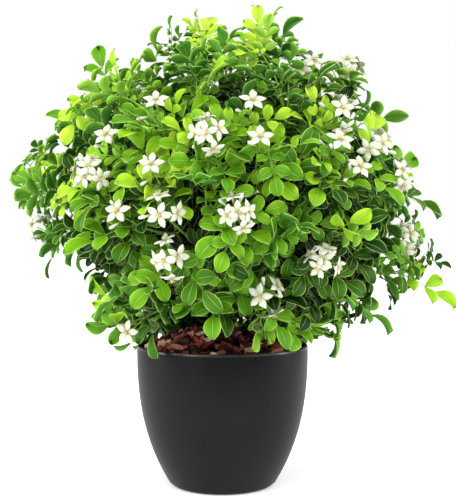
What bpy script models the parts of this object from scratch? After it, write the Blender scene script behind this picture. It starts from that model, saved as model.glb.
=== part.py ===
"""Potted orange jasmine: a many-twigged flowering shrub in a round black planter.

Metres, +Z up, front towards -Y. The origin is the centre of the planter's flat base.
The planter holds a plug of soil under a mound of bark mulch. The trunk stands in a plain hole
in both, and forks into branches. Each leafy stem is seated on a branch's end, and each flower
cluster on a twig's end.
"""

import math
import random
from collections import namedtuple

import bmesh
import bpy
from mathutils import Matrix, Quaternion, Vector

MM = 0.001
UP = Vector((0, 0, 1))
SEAT_GAP = 0.3 * MM
WELD = 0.002 * MM

# Planter
POT_HEIGHT = 165 * MM
POT_RIM_RADIUS = 100 * MM
POT_SHOULDER_RADIUS = 60 * MM
POT_FLAT_RADIUS = 50 * MM
POT_BELLY = 2.6
POT_WALL = 3.2 * MM
POT_FLOOR = 4 * MM
POT_OUTSIDE_LEVELS = (0.99, 0.68, 0.46, 0.27, 0.12)
POT_INSIDE_LEVELS = (0.2, 0.55)
TURNS = 30

# Soil and mulch
SOIL_TOP = 150 * MM
SOIL_SLACK = 0.8 * MM
TRUNK_HOLE_RADIUS = 8.6 * MM
TRUNK_HOLE_DEPTH = 52 * MM
MULCH_RADIUS = 95.2 * MM
MULCH_EDGE = 5 * MM
MULCH_CROWN = 21 * MM
CHIP_COUNT = 22
CHIP_RING = (20 * MM, 81 * MM)
CHIP_LENGTH = (24 * MM, 32 * MM)
CHIP_WIDTH = (14 * MM, 19 * MM)
CHIP_THICKNESS = (6 * MM, 9 * MM)
CHIP_CORNERS = (0.82, 1.05)
CHIP_ROLL = 0.16
CHIP_STRAY = 1.3
CHIP_SEED = 5

# Wood. A branch swells with the number of stems that it carries.
TRUNK_RADIUS = 8.0 * MM
TRUNK_COURSE = ((0, 0, 98.3), (0, 0, 177), (2.5, 1, 198), (4, -1.5, 212))
TRUNK_TAPER = (1, 1, 0.92, 0.8)
BRANCH_RADIUS = 1.9 * MM
BRANCH_SWELL = 0.42
BRANCH_RISE = 0.55
DETOUR_COST = 0.45
SEAT_HEART = Vector((0, 0, 232)) * MM
SEAT_SHARE = 0.5
SEAT_RUN = 10 * MM
STRAIGHT_RUN = 38 * MM

# Twigs
FORK_RUN = 14 * MM
TWIG_RADIUS = 1.5 * MM
TWIG_TIP_RADIUS = 1.0 * MM
SIDE_TWIG_FOOT = 0.8 * MM
TWIG_BEND = 0.42
TWIG_STEPS = 3
CROWN_HEART = Vector((0, 20, 285)) * MM
LIFT = 0.25 * UP
SAMPLE = 4 * MM

# Leaves: the measures of a full-size leaf, which each leaf's size then scales
LEAF_SEED = 14
LEAF_SIZES = (0.92, 1.08)
PETIOLE = 13 * MM
PAIR_SPACING = 19 * MM
END_RUN = 12 * MM
END_LEAFLET = (31 * MM, 10.5 * MM)
PAIR_LEAFLETS = ((27 * MM, 8.6 * MM), (23 * MM, 7.6 * MM))
PAIR_ANGLES = (math.radians(58), math.radians(68))
SIDE_LEAFLET_SHAPE = ((0.55, -1.0), (1.0, -0.3), (0.7, 1.0))
END_LEAFLET_SHAPE = ((0.55, -1.0), (1.0, -0.35))
LEAFLET_FOOT = (1.5 * MM, 2.0 * MM)
RIB_HALF_WIDTH = 0.75 * MM
BLADE = 0.7 * MM
LEAF_ARCH = 3.2
LEAF_CUP = 0.16

# How leaves stand on their twig, and the room that they keep to other leaves, twigs and flowers
END_LEAF_BACK = 2 * MM
SIDE_LEAF_BACK = 9 * MM
LEAF_STEP = 15 * MM
TWIG_BARE_SHARE = 0.3
END_LEAF_SPREAD = (15, 40)
SIDE_LEAF_SPREAD = (48, 76)
LEAF_SAG = (-0.3, 0.1)
LEAF_TUFT = 32 * MM
GOLDEN_TURN = 2.4
LEAF_TRIES = 26
CELL = 10 * MM
GOOD_ROOM = 7.8 * MM
LEAST_ROOM = 6.0 * MM
LOWEST_LEAF = 146 * MM
RIM_ROOM = 6 * MM
MOUND_ROOM = 16 * MM

# Flowers
PETALS = 5
PETAL_REACH = 14.5 * MM
PETAL_HALF_WIDTH = 4.6 * MM
PETAL_NOTCH = 3.0 * MM
PETAL_SHAPE = ((0.6, -1), (1, 0.15))
PETAL_CURL = 3.0 * MM
CUP_DEPTH = 2.2 * MM
CLUSTER_STALK = 8 * MM
FLOWER_STALK = 17 * MM
CLUSTER_SPREAD = {1: 0.0, 2: math.radians(40), 3: math.radians(48)}
CLUSTER_LIFT = 0.15
FLOWER_TURN = 1.1
STALK_RADIUS = 0.9 * MM
SIDE_STALK_RADIUS = 0.6 * MM

# Each leafy stem's twigs. A twig's tuft of leaves, or its flower cluster, is this many mm across,
# towards the back and up; then come the number of flowers at its tip and of leaves below.
LEAFY_STEMS = (
    ((60, 0, 541, 0, 2), (18, -20, 505, 0, 1), (100, -40, 492, 2, 1)),
    ((-25, 0, 532, 0, 2), (-85, -20, 495, 0, 2), (-32, -130, 458, 0, 1)),
    ((20, -150, 440, 0, 1), (-15, -195, 405, 3, 1), (30, -172, 432, 1, 0)),
    ((80, -125, 450, 0, 1), (125, -140, 432, 2, 1), (40, -192, 395, 1, 1)),
    ((150, -20, 490, 2, 1), (182, -5, 448, 0, 2)),
    ((122, -165, 392, 1, 0), (168, -125, 396, 2, 1), (142, -152, 366, 1, 0)),
    ((-145, -20, 480, 0, 2), (-178, -20, 440, 0, 2)),
    ((-70, -165, 432, 1, 1), (-120, -152, 398, 1, 0), (-142, -148, 365, 3, 1)),
    ((-226, -20, 362, 0, 2), (-215, 0, 300, 2, 1)),
    ((-105, -178, 320, 1, 1), (-72, -195, 365, 1, 1)),
    ((-20, -195, 360, 0, 1), (-62, -200, 325, 2, 0), (-55, -185, 280, 3, 1)),
    ((14, -208, 322, 3, 1), (45, -180, 272, 0, 2)),
    ((80, -180, 372, 0, 2), (88, -185, 318, 0, 1)),
    ((148, -145, 308, 0, 2), (110, -158, 270, 3, 0), (196, -92, 366, 2, 1)),
    ((218, -25, 290, 3, 1), (240, -10, 252, 0, 2)),
    ((-158, -60, 268, 0, 2), (-108, -135, 250, 0, 1), (-106, -80, 192, 1, 1)),
    ((-130, -75, 184, 0, 2), (-10, -155, 240, 0, 2), (-62, -92, 206, 0, 1)),
    ((48, -148, 234, 2, 1), (55, -118, 196, 0, 2)),
    ((180, -45, 216, 0, 2), (104, -88, 196, 0, 1), (130, -100, 240, 0, 1)),
    ((-50, 120, 455, 0, 1), (15, 150, 440, 2, 1), (-15, 60, 505, 0, 1)),
    ((100, 105, 445, 2, 1), (150, 130, 370, 0, 1)),
    ((-140, 100, 405, 2, 1), (-190, 80, 325, 0, 2)),
    ((-60, 180, 370, 0, 1), (0, 195, 325, 2, 1)),
    ((75, 180, 350, 1, 1), (110, 145, 275, 0, 2)),
    ((195, 80, 290, 1, 0), (222, 20, 385, 0, 2)),
    ((-100, 145, 262, 0, 1), (-30, 155, 240, 0, 1), (-145, 60, 225, 0, 1)),
    ((140, 80, 225, 0, 1), (60, 115, 212, 0, 1)),
)

Stem = namedtuple("Stem", "seat heading fork twigs leaves")
Twig = namedtuple("Twig", "path outward flowers leaves cluster")
Leaflet = namedtuple("Leaflet", "root side angle length half_width")
Leaf = namedtuple("Leaf", "frame leaflets")
Flower = namedtuple("Flower", "centre facing turn")
Cluster = namedtuple("Cluster", "root fork flowers")


# Growth: where every branch, twig, leaf and flower goes


def frame_at(root, along, face):
    """A matrix at the root whose X runs along and whose Z is as near to face as it can be."""
    x = along.normalized()
    z = (face - x * face.dot(x)).normalized()
    return Matrix.Translation(root) @ Matrix((x, z.cross(x), z)).transposed().to_4x4()


def bent_path(start, control, end, steps):
    """Points on a curve that leaves start towards control and reaches end from it."""
    shares = [step / steps for step in range(steps + 1)]
    return [start.lerp(control, t).lerp(control.lerp(end, t), t) for t in shares]


def path_length(path):
    return sum((b - a).length for a, b in zip(path, path[1:]))


def along_path(path, distance):
    """The point at this distance along the path, and the direction there."""
    for a, b in zip(path, path[1:]):
        length = (b - a).length
        if distance <= length or b is path[-1]:
            return a.lerp(b, min(distance / length, 1)), (b - a).normalized()
        distance -= length


def spaced_points(path, spacing):
    """Points along the path, no further apart than this spacing."""
    total = path_length(path)
    count = max(2, math.ceil(total / spacing) + 1)
    return [along_path(path, total * i / (count - 1))[0] for i in range(count)]


class TakenSpace:
    """Points that wood, leaves and flowers already fill, sorted into cubic cells."""

    def __init__(self):
        self.cells = {}

    def fill(self, points):
        for point in points:
            cell = tuple(math.floor(c / CELL) for c in point)
            self.cells.setdefault(cell, []).append(point.copy())

    def room(self, points):
        """Distance from these points to the nearest taken one, as far as one cell."""
        nearest = CELL
        steps = (-1, 0, 1)
        for point in points:
            i, j, k = (math.floor(c / CELL) for c in point)
            for cell in ((i + a, j + b, k + c) for a in steps for b in steps for c in steps):
                for other in self.cells.get(cell, ()):
                    nearest = min(nearest, (other - point).length)
        return nearest


def grow_stem(tips):
    """A leafy stem's seat, and a twig to each of its tips."""
    places = [Vector(tip[:3]) * MM for tip in tips]
    middle = sum(places, Vector()) / len(places)
    seat = SEAT_HEART.lerp(middle, SEAT_SHARE)
    heading = ((middle - seat).normalized() + LIFT).normalized()
    fork = seat + heading * FORK_RUN
    twigs = []
    for (*_, flowers, leaves), place in zip(tips, places):
        outward = ((place - CROWN_HEART).normalized() + LIFT).normalized()
        end = place - outward * (cluster_reach(flowers) if flowers else LEAF_TUFT)
        control = end - outward * (end - fork).length * TWIG_BEND
        path = bent_path(fork, control, end, TWIG_STEPS)
        outward = (path[-1] - path[-2]).normalized()
        cluster = grow_cluster(path[-1], outward, flowers, sum(place) / MM) if flowers else None
        twigs.append(Twig(path, outward, flowers, leaves, cluster))
    return Stem(seat, heading, fork, twigs, [])


def grow_wood(stems):
    """Joins each seat to the wood already grown, the nearest seat first.

    A piece of wood is its point, the index of the piece before it, the way to the trunk's foot,
    the number of stems that it carries and whether a stem sits on it. A branch is the indices of
    its pieces, from the one that it leaves.
    """
    wood, branches = [], []
    for index, place in enumerate(TRUNK_COURSE):
        point = Vector(place) * MM
        wood.append({"point": point, "before": index - 1, "way": point.z, "load": 0, "end": False})
    crotch = wood[-1]["point"]
    for stem in sorted(stems, key=lambda s: (s.seat - crotch).length):
        knee = stem.seat - stem.heading * SEAT_RUN
        open_wood = [i for i, piece in enumerate(wood) if i > 1 and not piece["end"]]
        nearness = {i: (wood[i]["point"] - knee).length + DETOUR_COST * wood[i]["way"] for i in open_wood}
        parent = min(nearness, key=nearness.get)
        start = wood[parent]["point"]
        reach = (knee - start).length
        rise = UP * BRANCH_RISE + (knee - start).normalized() * (1 - BRANCH_RISE)
        bends = bent_path(start, start + rise * reach / 2, knee, 2 if reach > STRAIGHT_RUN else 1)
        branch = [parent]
        for point in (*bends[1:], stem.seat):
            before = wood[branch[-1]]
            way = before["way"] + (point - before["point"]).length
            wood.append({"point": point, "before": branch[-1], "way": way, "load": 0, "end": False})
            branch.append(len(wood) - 1)
        wood[-1]["end"] = True
        branches.append(branch)
    for branch in branches:
        index = branch[-1]
        while index >= 0:
            wood[index]["load"] += 1
            index = wood[index]["before"]
    return wood, branches


def cluster_reach(flowers):
    """How far the middle of a cluster of this many flowers stands off its twig."""
    return CLUSTER_STALK + FLOWER_STALK * math.cos(CLUSTER_SPREAD[flowers])


def grow_cluster(end, outward, flowers, turn):
    """A stalk at the twig's end, and the flowers that fork from it, spread evenly round it."""
    root = end + outward * SEAT_GAP
    fork = root + outward * CLUSTER_STALK
    middle = (outward + CLUSTER_LIFT * UP).normalized()
    tilted = Quaternion(middle.cross(UP).normalized(), CLUSTER_SPREAD[flowers]) @ middle
    grown = []
    for index in range(flowers):
        facing = Quaternion(middle, turn + 2 * math.pi * index / flowers) @ tilted
        grown.append(Flower(fork + facing * FLOWER_STALK, facing, FLOWER_TURN * index))
    return Cluster(root, fork, grown)


def cluster_points(cluster):
    """Points spread over a cluster, for keeping clear of it."""
    points = spaced_points([cluster.root, cluster.fork], SAMPLE)
    for flower in cluster.flowers:
        points += spaced_points([cluster.fork, flower.centre], SAMPLE)
        frame = frame_at(flower.centre, flower.facing.orthogonal(), flower.facing)
        for radius, count in ((0.5 * PETAL_REACH, 6), (PETAL_REACH, 12)):
            angles = [2 * math.pi * i / count for i in range(count)]
            points += [frame @ Vector((radius * math.cos(a), radius * math.sin(a), 0)) for a in angles]
    return points


def leaflets_of(pairs, size):
    """A leaf's leaflets: one at its end, and pairs along its rib, the smaller ones nearer its foot."""
    leaflets = []
    for number in range(pairs):
        from_end = pairs - 1 - number
        root = (PETIOLE + PAIR_SPACING * number) * size
        length, half_width = (measure * size for measure in PAIR_LEAFLETS[from_end])
        for side in (-1, 1):
            leaflets.append(Leaflet(root, side, side * PAIR_ANGLES[from_end], length, half_width))
    root = (PETIOLE + PAIR_SPACING * (pairs - 1) + END_RUN) * size
    return leaflets + [Leaflet(root, 0, 0.0, END_LEAFLET[0] * size, END_LEAFLET[1] * size)]


def on_leaflet(leaflet, along, across):
    """The point at these shares of a leaflet's length and half width, in the leaf's own plane."""
    u, v = along * leaflet.length, across * leaflet.half_width
    x = leaflet.root + u * math.cos(leaflet.angle) - v * math.sin(leaflet.angle)
    return x, u * math.sin(leaflet.angle) + v * math.cos(leaflet.angle)


def arched(x, y):
    """A point of the leaf's plane, lifted beside the rib and drooping towards the leaf's end."""
    return Vector((x, y, LEAF_CUP * abs(y) - LEAF_ARCH * x * x))


def leaf_points(leaf):
    """Points spread over a leaf, for keeping it clear of others."""
    spots = ((0.3, 0), (0.62, 0), (0.95, 0), (0.55, 0.9), (0.55, -0.9), (0.85, 0.5), (0.85, -0.5))
    return [leaf.frame @ arched(*on_leaflet(leaflet, *spot)) for leaflet in leaf.leaflets for spot in spots]


def clear_of_pot(points):
    """Whether all points stay off the mulch mound and outside the planter's rim."""
    for point in points:
        radius = math.hypot(point.x, point.y)
        over_rim = radius > POT_RIM_RADIUS + RIM_ROOM or point.z > POT_HEIGHT + RIM_ROOM
        over_mound = radius > 0.6 * POT_RIM_RADIUS or point.z > SOIL_TOP + MULCH_CROWN + MOUND_ROOM
        if point.z < LOWEST_LEAF or not over_rim or not over_mound:
            return False
    return True


def place_leaf(twig, distance, at_end, draws, space):
    """Tries drawn poses for a leaf and takes the first that has good room, or the one with the most."""
    root, heading = along_path(twig.path, distance)
    leaflets = leaflets_of(draws.choice((1, 2)), draws.uniform(*LEAF_SIZES))
    beside = heading.orthogonal().normalized()
    first_turn = draws.uniform(0, 2 * math.pi)
    best, best_room = None, LEAST_ROOM
    for attempt in range(LEAF_TRIES):
        spread = math.radians(draws.uniform(*(END_LEAF_SPREAD if at_end else SIDE_LEAF_SPREAD)))
        off = Quaternion(heading, first_turn + GOLDEN_TURN * attempt) @ beside
        along = heading * math.cos(spread) + off * math.sin(spread) + UP * draws.uniform(*LEAF_SAG)
        stray = Vector([draws.uniform(-1, 1) for _ in range(3)])
        face = heading + 0.5 * UP + 0.4 * (root - CROWN_HEART).normalized() + 0.6 * stray
        leaf = Leaf(frame_at(root, along, face), leaflets)
        points = leaf_points(leaf)
        room = space.room(points) if clear_of_pot(points) else 0
        if room > best_room:
            best, best_room = leaf, room
        if room >= GOOD_ROOM:
            break
    return best


def grow():
    """The whole shrub: its stems with their twigs, flower clusters and leaves, and its wood."""
    stems = [grow_stem(tips) for tips in LEAFY_STEMS]
    wood, branches = grow_wood(stems)
    space = TakenSpace()
    for branch in branches:
        space.fill(spaced_points([wood[i]["point"] for i in branch], SAMPLE))
    for stem in stems:
        space.fill(spaced_points([stem.seat, stem.fork], SAMPLE))
        for twig in stem.twigs:
            space.fill(spaced_points(twig.path, SAMPLE))
            if twig.cluster:
                space.fill(cluster_points(twig.cluster))
    draws = random.Random(LEAF_SEED)
    for stem in stems:
        for twig in stem.twigs:
            length = path_length(twig.path)
            for index in range(twig.leaves):
                at_end = index == 0 and not twig.cluster
                back = END_LEAF_BACK if at_end else SIDE_LEAF_BACK + LEAF_STEP * index
                distance = max(length - back, TWIG_BARE_SHARE * length)
                leaf = place_leaf(twig, distance, at_end, draws, space)
                if leaf:
                    stem.leaves.append(leaf)
                    space.fill(leaf_points(leaf))
    return stems, wood, branches


# Solids


def material(name, colour, roughness):
    made = bpy.data.materials.new(name)
    made.use_nodes = True
    shader = made.node_tree.nodes["Principled BSDF"]
    shader.inputs["Base Color"].default_value = (*colour, 1)
    shader.inputs["Roughness"].default_value = roughness
    shader.inputs["Metallic"].default_value = 0
    return made


def in_collection(obj, collection):
    for holder in list(obj.users_collection):
        holder.objects.unlink(obj)
    collection.objects.link(obj)


def object_of(name, data):
    obj = bpy.data.objects.new(name, data)
    bpy.context.scene.collection.objects.link(obj)
    return obj


def mesh_object(name, bm):
    mesh = bpy.data.meshes.new(name)
    bm.to_mesh(mesh)
    bm.free()
    return object_of(name, mesh)


def applied(obj):
    """The object as a plain mesh, as its modifiers or its curve make it."""
    bpy.context.view_layer.update()
    name = obj.name
    mesh = bpy.data.meshes.new_from_object(obj.evaluated_get(bpy.context.evaluated_depsgraph_get()))
    bpy.data.objects.remove(obj)
    return object_of(name, mesh)


def welded(obj):
    """The object with its doubled points merged, as at a curve's caps or a turned profile's poles."""
    bm = bmesh.new()
    bm.from_mesh(obj.data)
    bmesh.ops.remove_doubles(bm, verts=bm.verts, dist=WELD)
    bm.to_mesh(obj.data)
    bm.free()
    return obj


def turned(name, profile):
    """A closed profile of radii and heights, turned round Z. It runs down its outer side."""
    bm = bmesh.new()
    corners = [bm.verts.new((radius, 0, z)) for radius, z in profile]
    for a, b in zip(corners, corners[1:] + corners[:1]):
        if max(a.co.x, b.co.x) > 0:
            bm.edges.new((a, b))
    obj = mesh_object(name, bm)
    screw = obj.modifiers.new("turn", "SCREW")
    screw.angle = 2 * math.pi
    screw.steps = TURNS
    screw.render_steps = TURNS
    screw.use_merge_vertices = True
    screw.merge_threshold = WELD
    return welded(applied(obj))


def rod(name, path, radii, resolution=0):
    """A rod along a path, with a radius for each of its points and flat ends."""
    curve = bpy.data.curves.new(name, "CURVE")
    curve.dimensions = "3D"
    curve.bevel_depth = 1.0
    curve.bevel_resolution = resolution
    curve.use_fill_caps = True
    spline = curve.splines.new("POLY")
    spline.points.add(len(path) - 1)
    for point, place, radius in zip(spline.points, path, radii):
        point.co = (*place, 1)
        point.radius = radius
    return welded(applied(object_of(name, curve)))


def thickened(bm):
    """Closes a sheet into a blade, with the same faces beneath as above."""
    above = bmesh.ops.extrude_face_region(bm, geom=list(bm.faces))["geom"]
    verts = [item for item in above if isinstance(item, bmesh.types.BMVert)]
    bmesh.ops.translate(bm, verts=verts, vec=(0, 0, BLADE))


def fused(name, pieces):
    """One body from pieces that overlap."""
    base, *others = pieces
    base.name = name
    if others:
        group = bpy.data.collections.new(name + "_pieces")
        bpy.context.scene.collection.children.link(group)
        for piece in others:
            in_collection(piece, group)
        union = base.modifiers.new("union", "BOOLEAN")
        union.operation = "UNION"
        union.solver = "MANIFOLD"
        union.operand_type = "COLLECTION"
        union.collection = group
        base = applied(base)
        for piece in others:
            bpy.data.objects.remove(piece)
        bpy.data.collections.remove(group)
    return base


def pot_radius(height, inset=0.0):
    """The planter's outside radius at a height, less an inset."""
    share = 1 - (1 - height / POT_HEIGHT) ** POT_BELLY
    return POT_SHOULDER_RADIUS + (POT_RIM_RADIUS - POT_SHOULDER_RADIUS) * share - inset


def wall_points(levels, inset):
    """Points on the planter's wall, less an inset, at these shares of its height."""
    return [(pot_radius(POT_HEIGHT * level, inset), POT_HEIGHT * level) for level in levels]


def build_planter():
    floor = [(0, POT_FLOOR), (POT_SHOULDER_RADIUS - 2 * MM, POT_FLOOR)]
    inside = wall_points(POT_INSIDE_LEVELS, POT_WALL)
    lip = [(POT_RIM_RADIUS - POT_WALL, POT_HEIGHT), (POT_RIM_RADIUS - 0.9 * MM, POT_HEIGHT)]
    outside = wall_points(POT_OUTSIDE_LEVELS, 0)
    foot = [(POT_SHOULDER_RADIUS + 1 * MM, 4.5 * MM), (56 * MM, 0.8 * MM), (POT_FLAT_RADIUS, 0), (0, 0)]
    return turned("planter", floor + inside + lip + outside + foot)


def build_soil():
    """Soil to just under the rim, with a plain hole for the trunk."""
    hole = SOIL_TOP - TRUNK_HOLE_DEPTH
    lowest = POT_FLOOR + SEAT_GAP
    profile = [(0, hole), (TRUNK_HOLE_RADIUS, hole), (TRUNK_HOLE_RADIUS, SOIL_TOP)]
    profile += wall_points([SOIL_TOP / POT_HEIGHT], POT_WALL + 1.5 * SOIL_SLACK)
    profile += wall_points(reversed(POT_INSIDE_LEVELS), POT_WALL + SOIL_SLACK)
    return turned("soil", profile + [(POT_SHOULDER_RADIUS - 3 * MM, lowest), (0, lowest)])


def mulch_height(radius):
    """The mound's surface: just under the rim at its edge, rising towards the trunk."""
    share = radius / MULCH_RADIUS
    return SOIL_TOP + MULCH_EDGE + (MULCH_CROWN - MULCH_EDGE) * (1 - share * share)


def chip(number, draws):
    """A bark chip: an uneven block that lies on the mound, more nearly along the rim the nearer it is."""
    share = (number + 0.7) / CHIP_COUNT
    radius = CHIP_RING[0] + (CHIP_RING[1] - CHIP_RING[0]) * math.sqrt(share)
    angle = GOLDEN_TURN * number
    size = [draws.uniform(*measure) for measure in (CHIP_LENGTH, CHIP_WIDTH, CHIP_THICKNESS)]
    place = Vector((radius * math.cos(angle), radius * math.sin(angle), mulch_height(radius)))
    stray = draws.uniform(-CHIP_STRAY, CHIP_STRAY) * (1 - share)
    turn = Matrix.Rotation(angle + math.pi / 2 + stray, 4, "Z")
    roll = Matrix.Rotation(draws.uniform(-CHIP_ROLL, CHIP_ROLL), 4, "X")
    bm = bmesh.new()
    bmesh.ops.create_cube(bm, size=1)
    for vert in bm.verts:
        vert.co *= draws.uniform(*CHIP_CORNERS)
    lie = Matrix.Translation(place) @ turn @ roll @ Matrix.Diagonal(size).to_4x4()
    bmesh.ops.transform(bm, matrix=lie, verts=bm.verts)
    return mesh_object("chip", bm)


def build_mulch():
    """A low mound of bark, covered with chips."""
    base = SOIL_TOP + SEAT_GAP
    hole = TRUNK_HOLE_RADIUS + SEAT_GAP
    radii = [hole, 0.45 * MULCH_RADIUS, 0.8 * MULCH_RADIUS, MULCH_RADIUS]
    surface = [(radius, mulch_height(radius) - 2 * MM) for radius in radii]
    mound = turned("mound", [(hole, base), *surface, (MULCH_RADIUS, base)])
    draws = random.Random(CHIP_SEED)
    return fused("bark_mulch", [mound, *(chip(number, draws) for number in range(CHIP_COUNT))])


def build_wood(wood, branches):
    """The trunk, and each branch from the piece of wood that it leaves to the seat at its end."""
    trunk = [Vector(place) * MM for place in TRUNK_COURSE]
    pieces = [rod("trunk", trunk, [TRUNK_RADIUS * share for share in TRUNK_TAPER], 1)]
    for branch in branches:
        loads = [wood[i]["load"] for i in (branch[1], *branch[1:])]
        radii = [min(BRANCH_RADIUS * load ** BRANCH_SWELL, TRUNK_RADIUS) for load in loads]
        pieces.append(rod("branch", [wood[i]["point"] for i in branch], radii))
    return fused("trunk_and_branches", pieces)


def leaf_outline(leaf):
    """The leaf's outline from the foot of its stalk, cut to the rib between its leaflets."""
    *sides, end = [leaflet for leaflet in leaf.leaflets if leaflet.side < 1]
    half = [(0, -RIB_HALF_WIDTH)]
    for leaflet in sides:
        half.append((leaflet.root - LEAFLET_FOOT[0], -RIB_HALF_WIDTH))
        half += [on_leaflet(leaflet, *spot) for spot in SIDE_LEAFLET_SHAPE]
        half.append((leaflet.root + LEAFLET_FOOT[1], -RIB_HALF_WIDTH))
    half += [on_leaflet(end, *spot) for spot in END_LEAFLET_SHAPE]
    return half + [(x, -y) for x, y in reversed(half)]


def build_leaf(leaf):
    """One thin arched blade, cut to the rib between its leaflets."""
    bm = bmesh.new()
    face = bm.faces.new([bm.verts.new((x, y, 0)) for x, y in leaf_outline(leaf)])
    face.normal_update()
    bmesh.ops.triangulate(bm, faces=[face])
    for vert in bm.verts:
        vert.co = arched(vert.co.x, vert.co.y)
    thickened(bm)
    bmesh.ops.recalc_face_normals(bm, faces=bm.faces)
    bmesh.ops.transform(bm, matrix=leaf.frame, verts=bm.verts)
    return mesh_object("leaf", bm)


def build_stem(name, stem):
    """Twigs that fork from the seat, and the leaves on them."""
    taper = [TWIG_RADIUS + (TWIG_TIP_RADIUS - TWIG_RADIUS) * i / TWIG_STEPS for i in range(TWIG_STEPS + 1)]
    first, *others = stem.twigs
    foot = stem.seat + stem.heading * SEAT_GAP
    pieces = [rod("twig", [foot, *first.path], [BRANCH_RADIUS, *taper])]
    pieces += [rod("twig", twig.path, [SIDE_TWIG_FOOT, *taper[1:]]) for twig in others]
    return fused(name, pieces + [build_leaf(leaf) for leaf in stem.leaves])


def flower_outline():
    """A five-petalled outline, with the notch before each petal first."""
    outline = []
    for number in range(PETALS):
        petal = Matrix.Rotation(2 * math.pi * number / PETALS, 2)
        before = Matrix.Rotation(2 * math.pi * (number - 0.5) / PETALS, 2)
        outline.append(before @ Vector((PETAL_NOTCH, 0)))
        for along, across in PETAL_SHAPE:
            outline.append(petal @ Vector((along * PETAL_REACH, across * PETAL_HALF_WIDTH)))
    return outline


def recurved(x, y):
    """A point of the flower's plane: petals rise from the middle and curl back at their tips."""
    share = math.hypot(x, y) / PETAL_REACH
    return Vector((x, y, CUP_DEPTH * share - PETAL_CURL * share ** 3))


def build_flower(flower, way, radius):
    """An open flower whose stalk runs down from under its middle, by the points of its way."""
    bm = bmesh.new()
    outline = [bm.verts.new((x, y, 0)) for x, y in flower_outline()]
    step = len(PETAL_SHAPE) + 1
    heart = bm.faces.new(outline[::step])
    closed = outline + outline[:1]
    petals = [bm.faces.new(closed[i:i + step + 1]) for i in range(0, len(outline), step)]
    bmesh.ops.triangulate(bm, faces=petals)
    for vert in bm.verts:
        vert.co = recurved(vert.co.x, vert.co.y)
    thickened(bm)
    turned_side = Quaternion(flower.facing, flower.turn) @ flower.facing.orthogonal()
    frame = frame_at(flower.centre, turned_side, flower.facing)
    bmesh.ops.transform(bm, matrix=frame, verts=bm.verts)
    for above, below in zip([flower.centre, *way], way):
        heart = bmesh.ops.extrude_discrete_faces(bm, faces=[heart])["faces"][0]
        down = (below - above).normalized()
        for vert in heart.verts:
            around = vert.co - above - down * (vert.co - above).dot(down)
            vert.co = below + around.normalized() * radius
    bmesh.ops.recalc_face_normals(bm, faces=bm.faces)
    return mesh_object("flower", bm)


def build_cluster(name, cluster):
    """A flower on its stalk, and any others on stalks that fork from it."""
    first, *others = cluster.flowers
    pieces = [build_flower(first, [cluster.fork, cluster.root], STALK_RADIUS)]
    pieces += [build_flower(flower, [cluster.fork], SIDE_STALK_RADIUS) for flower in others]
    return fused(name, pieces)


def finish(obj, collection, look, smooth):
    in_collection(obj, collection)
    obj.data.materials.clear()
    obj.data.materials.append(look)
    if smooth:
        obj.data.shade_smooth()
        obj.data.set_sharp_from_angle(angle=math.radians(40))


def main():
    for obj in list(bpy.data.objects):
        bpy.data.objects.remove(obj)
    plant = bpy.data.collections.new("potted_orange_jasmine")
    bpy.context.scene.collection.children.link(plant)
    finish(build_planter(), plant, material("black_planter", (0.028, 0.028, 0.030), 0.42), True)
    finish(build_soil(), plant, material("potting_soil", (0.045, 0.028, 0.018), 0.95), True)
    finish(build_mulch(), plant, material("bark_chips", (0.16, 0.055, 0.035), 0.75), False)
    stems, wood, branches = grow()
    finish(build_wood(wood, branches), plant, material("woody_stem", (0.13, 0.085, 0.045), 0.8), True)
    leaf_green = material("leaf_green", (0.10, 0.30, 0.03), 0.4)
    for number, stem in enumerate(stems, 1):
        finish(build_stem(f"leafy_stem_{number:02d}", stem), plant, leaf_green, False)
    petal_white = material("petal_white", (0.86, 0.85, 0.76), 0.5)
    clusters = [twig.cluster for stem in stems for twig in stem.twigs if twig.cluster]
    for number, cluster in enumerate(clusters, 1):
        finish(build_cluster(f"flower_cluster_{number:02d}", cluster), plant, petal_white, False)


main()
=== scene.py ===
"""The looks of a potted orange jasmine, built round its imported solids.

Metres, +Z up, front towards -Y, with the origin at the centre of the planter's flat base.
The shrub first grows by the rules of its solids, so that every branch, leaf and flower in them
has a finer one in its place here. Then it fills out with side twigs, leaves, flowers and buds.
"""

import math
import random
from collections import namedtuple

import bmesh
import bpy
from mathutils import Matrix, Quaternion, Vector, noise


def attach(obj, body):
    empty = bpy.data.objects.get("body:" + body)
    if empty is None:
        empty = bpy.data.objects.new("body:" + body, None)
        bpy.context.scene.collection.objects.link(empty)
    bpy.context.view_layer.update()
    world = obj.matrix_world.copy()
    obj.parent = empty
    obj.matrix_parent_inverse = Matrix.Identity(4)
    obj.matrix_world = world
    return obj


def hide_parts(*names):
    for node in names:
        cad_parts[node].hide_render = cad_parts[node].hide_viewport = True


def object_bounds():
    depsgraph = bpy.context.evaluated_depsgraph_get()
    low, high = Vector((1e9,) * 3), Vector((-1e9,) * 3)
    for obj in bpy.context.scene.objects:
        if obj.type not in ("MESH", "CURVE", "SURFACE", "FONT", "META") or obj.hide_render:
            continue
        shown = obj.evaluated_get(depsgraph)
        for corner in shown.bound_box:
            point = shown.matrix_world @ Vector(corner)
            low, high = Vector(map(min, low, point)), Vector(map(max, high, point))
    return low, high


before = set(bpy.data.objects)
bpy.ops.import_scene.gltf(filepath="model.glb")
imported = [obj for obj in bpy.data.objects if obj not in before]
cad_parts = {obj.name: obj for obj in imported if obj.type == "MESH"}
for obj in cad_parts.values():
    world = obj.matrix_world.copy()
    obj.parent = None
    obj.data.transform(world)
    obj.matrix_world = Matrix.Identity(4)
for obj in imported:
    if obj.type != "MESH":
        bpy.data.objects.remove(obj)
solid_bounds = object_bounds()

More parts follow.
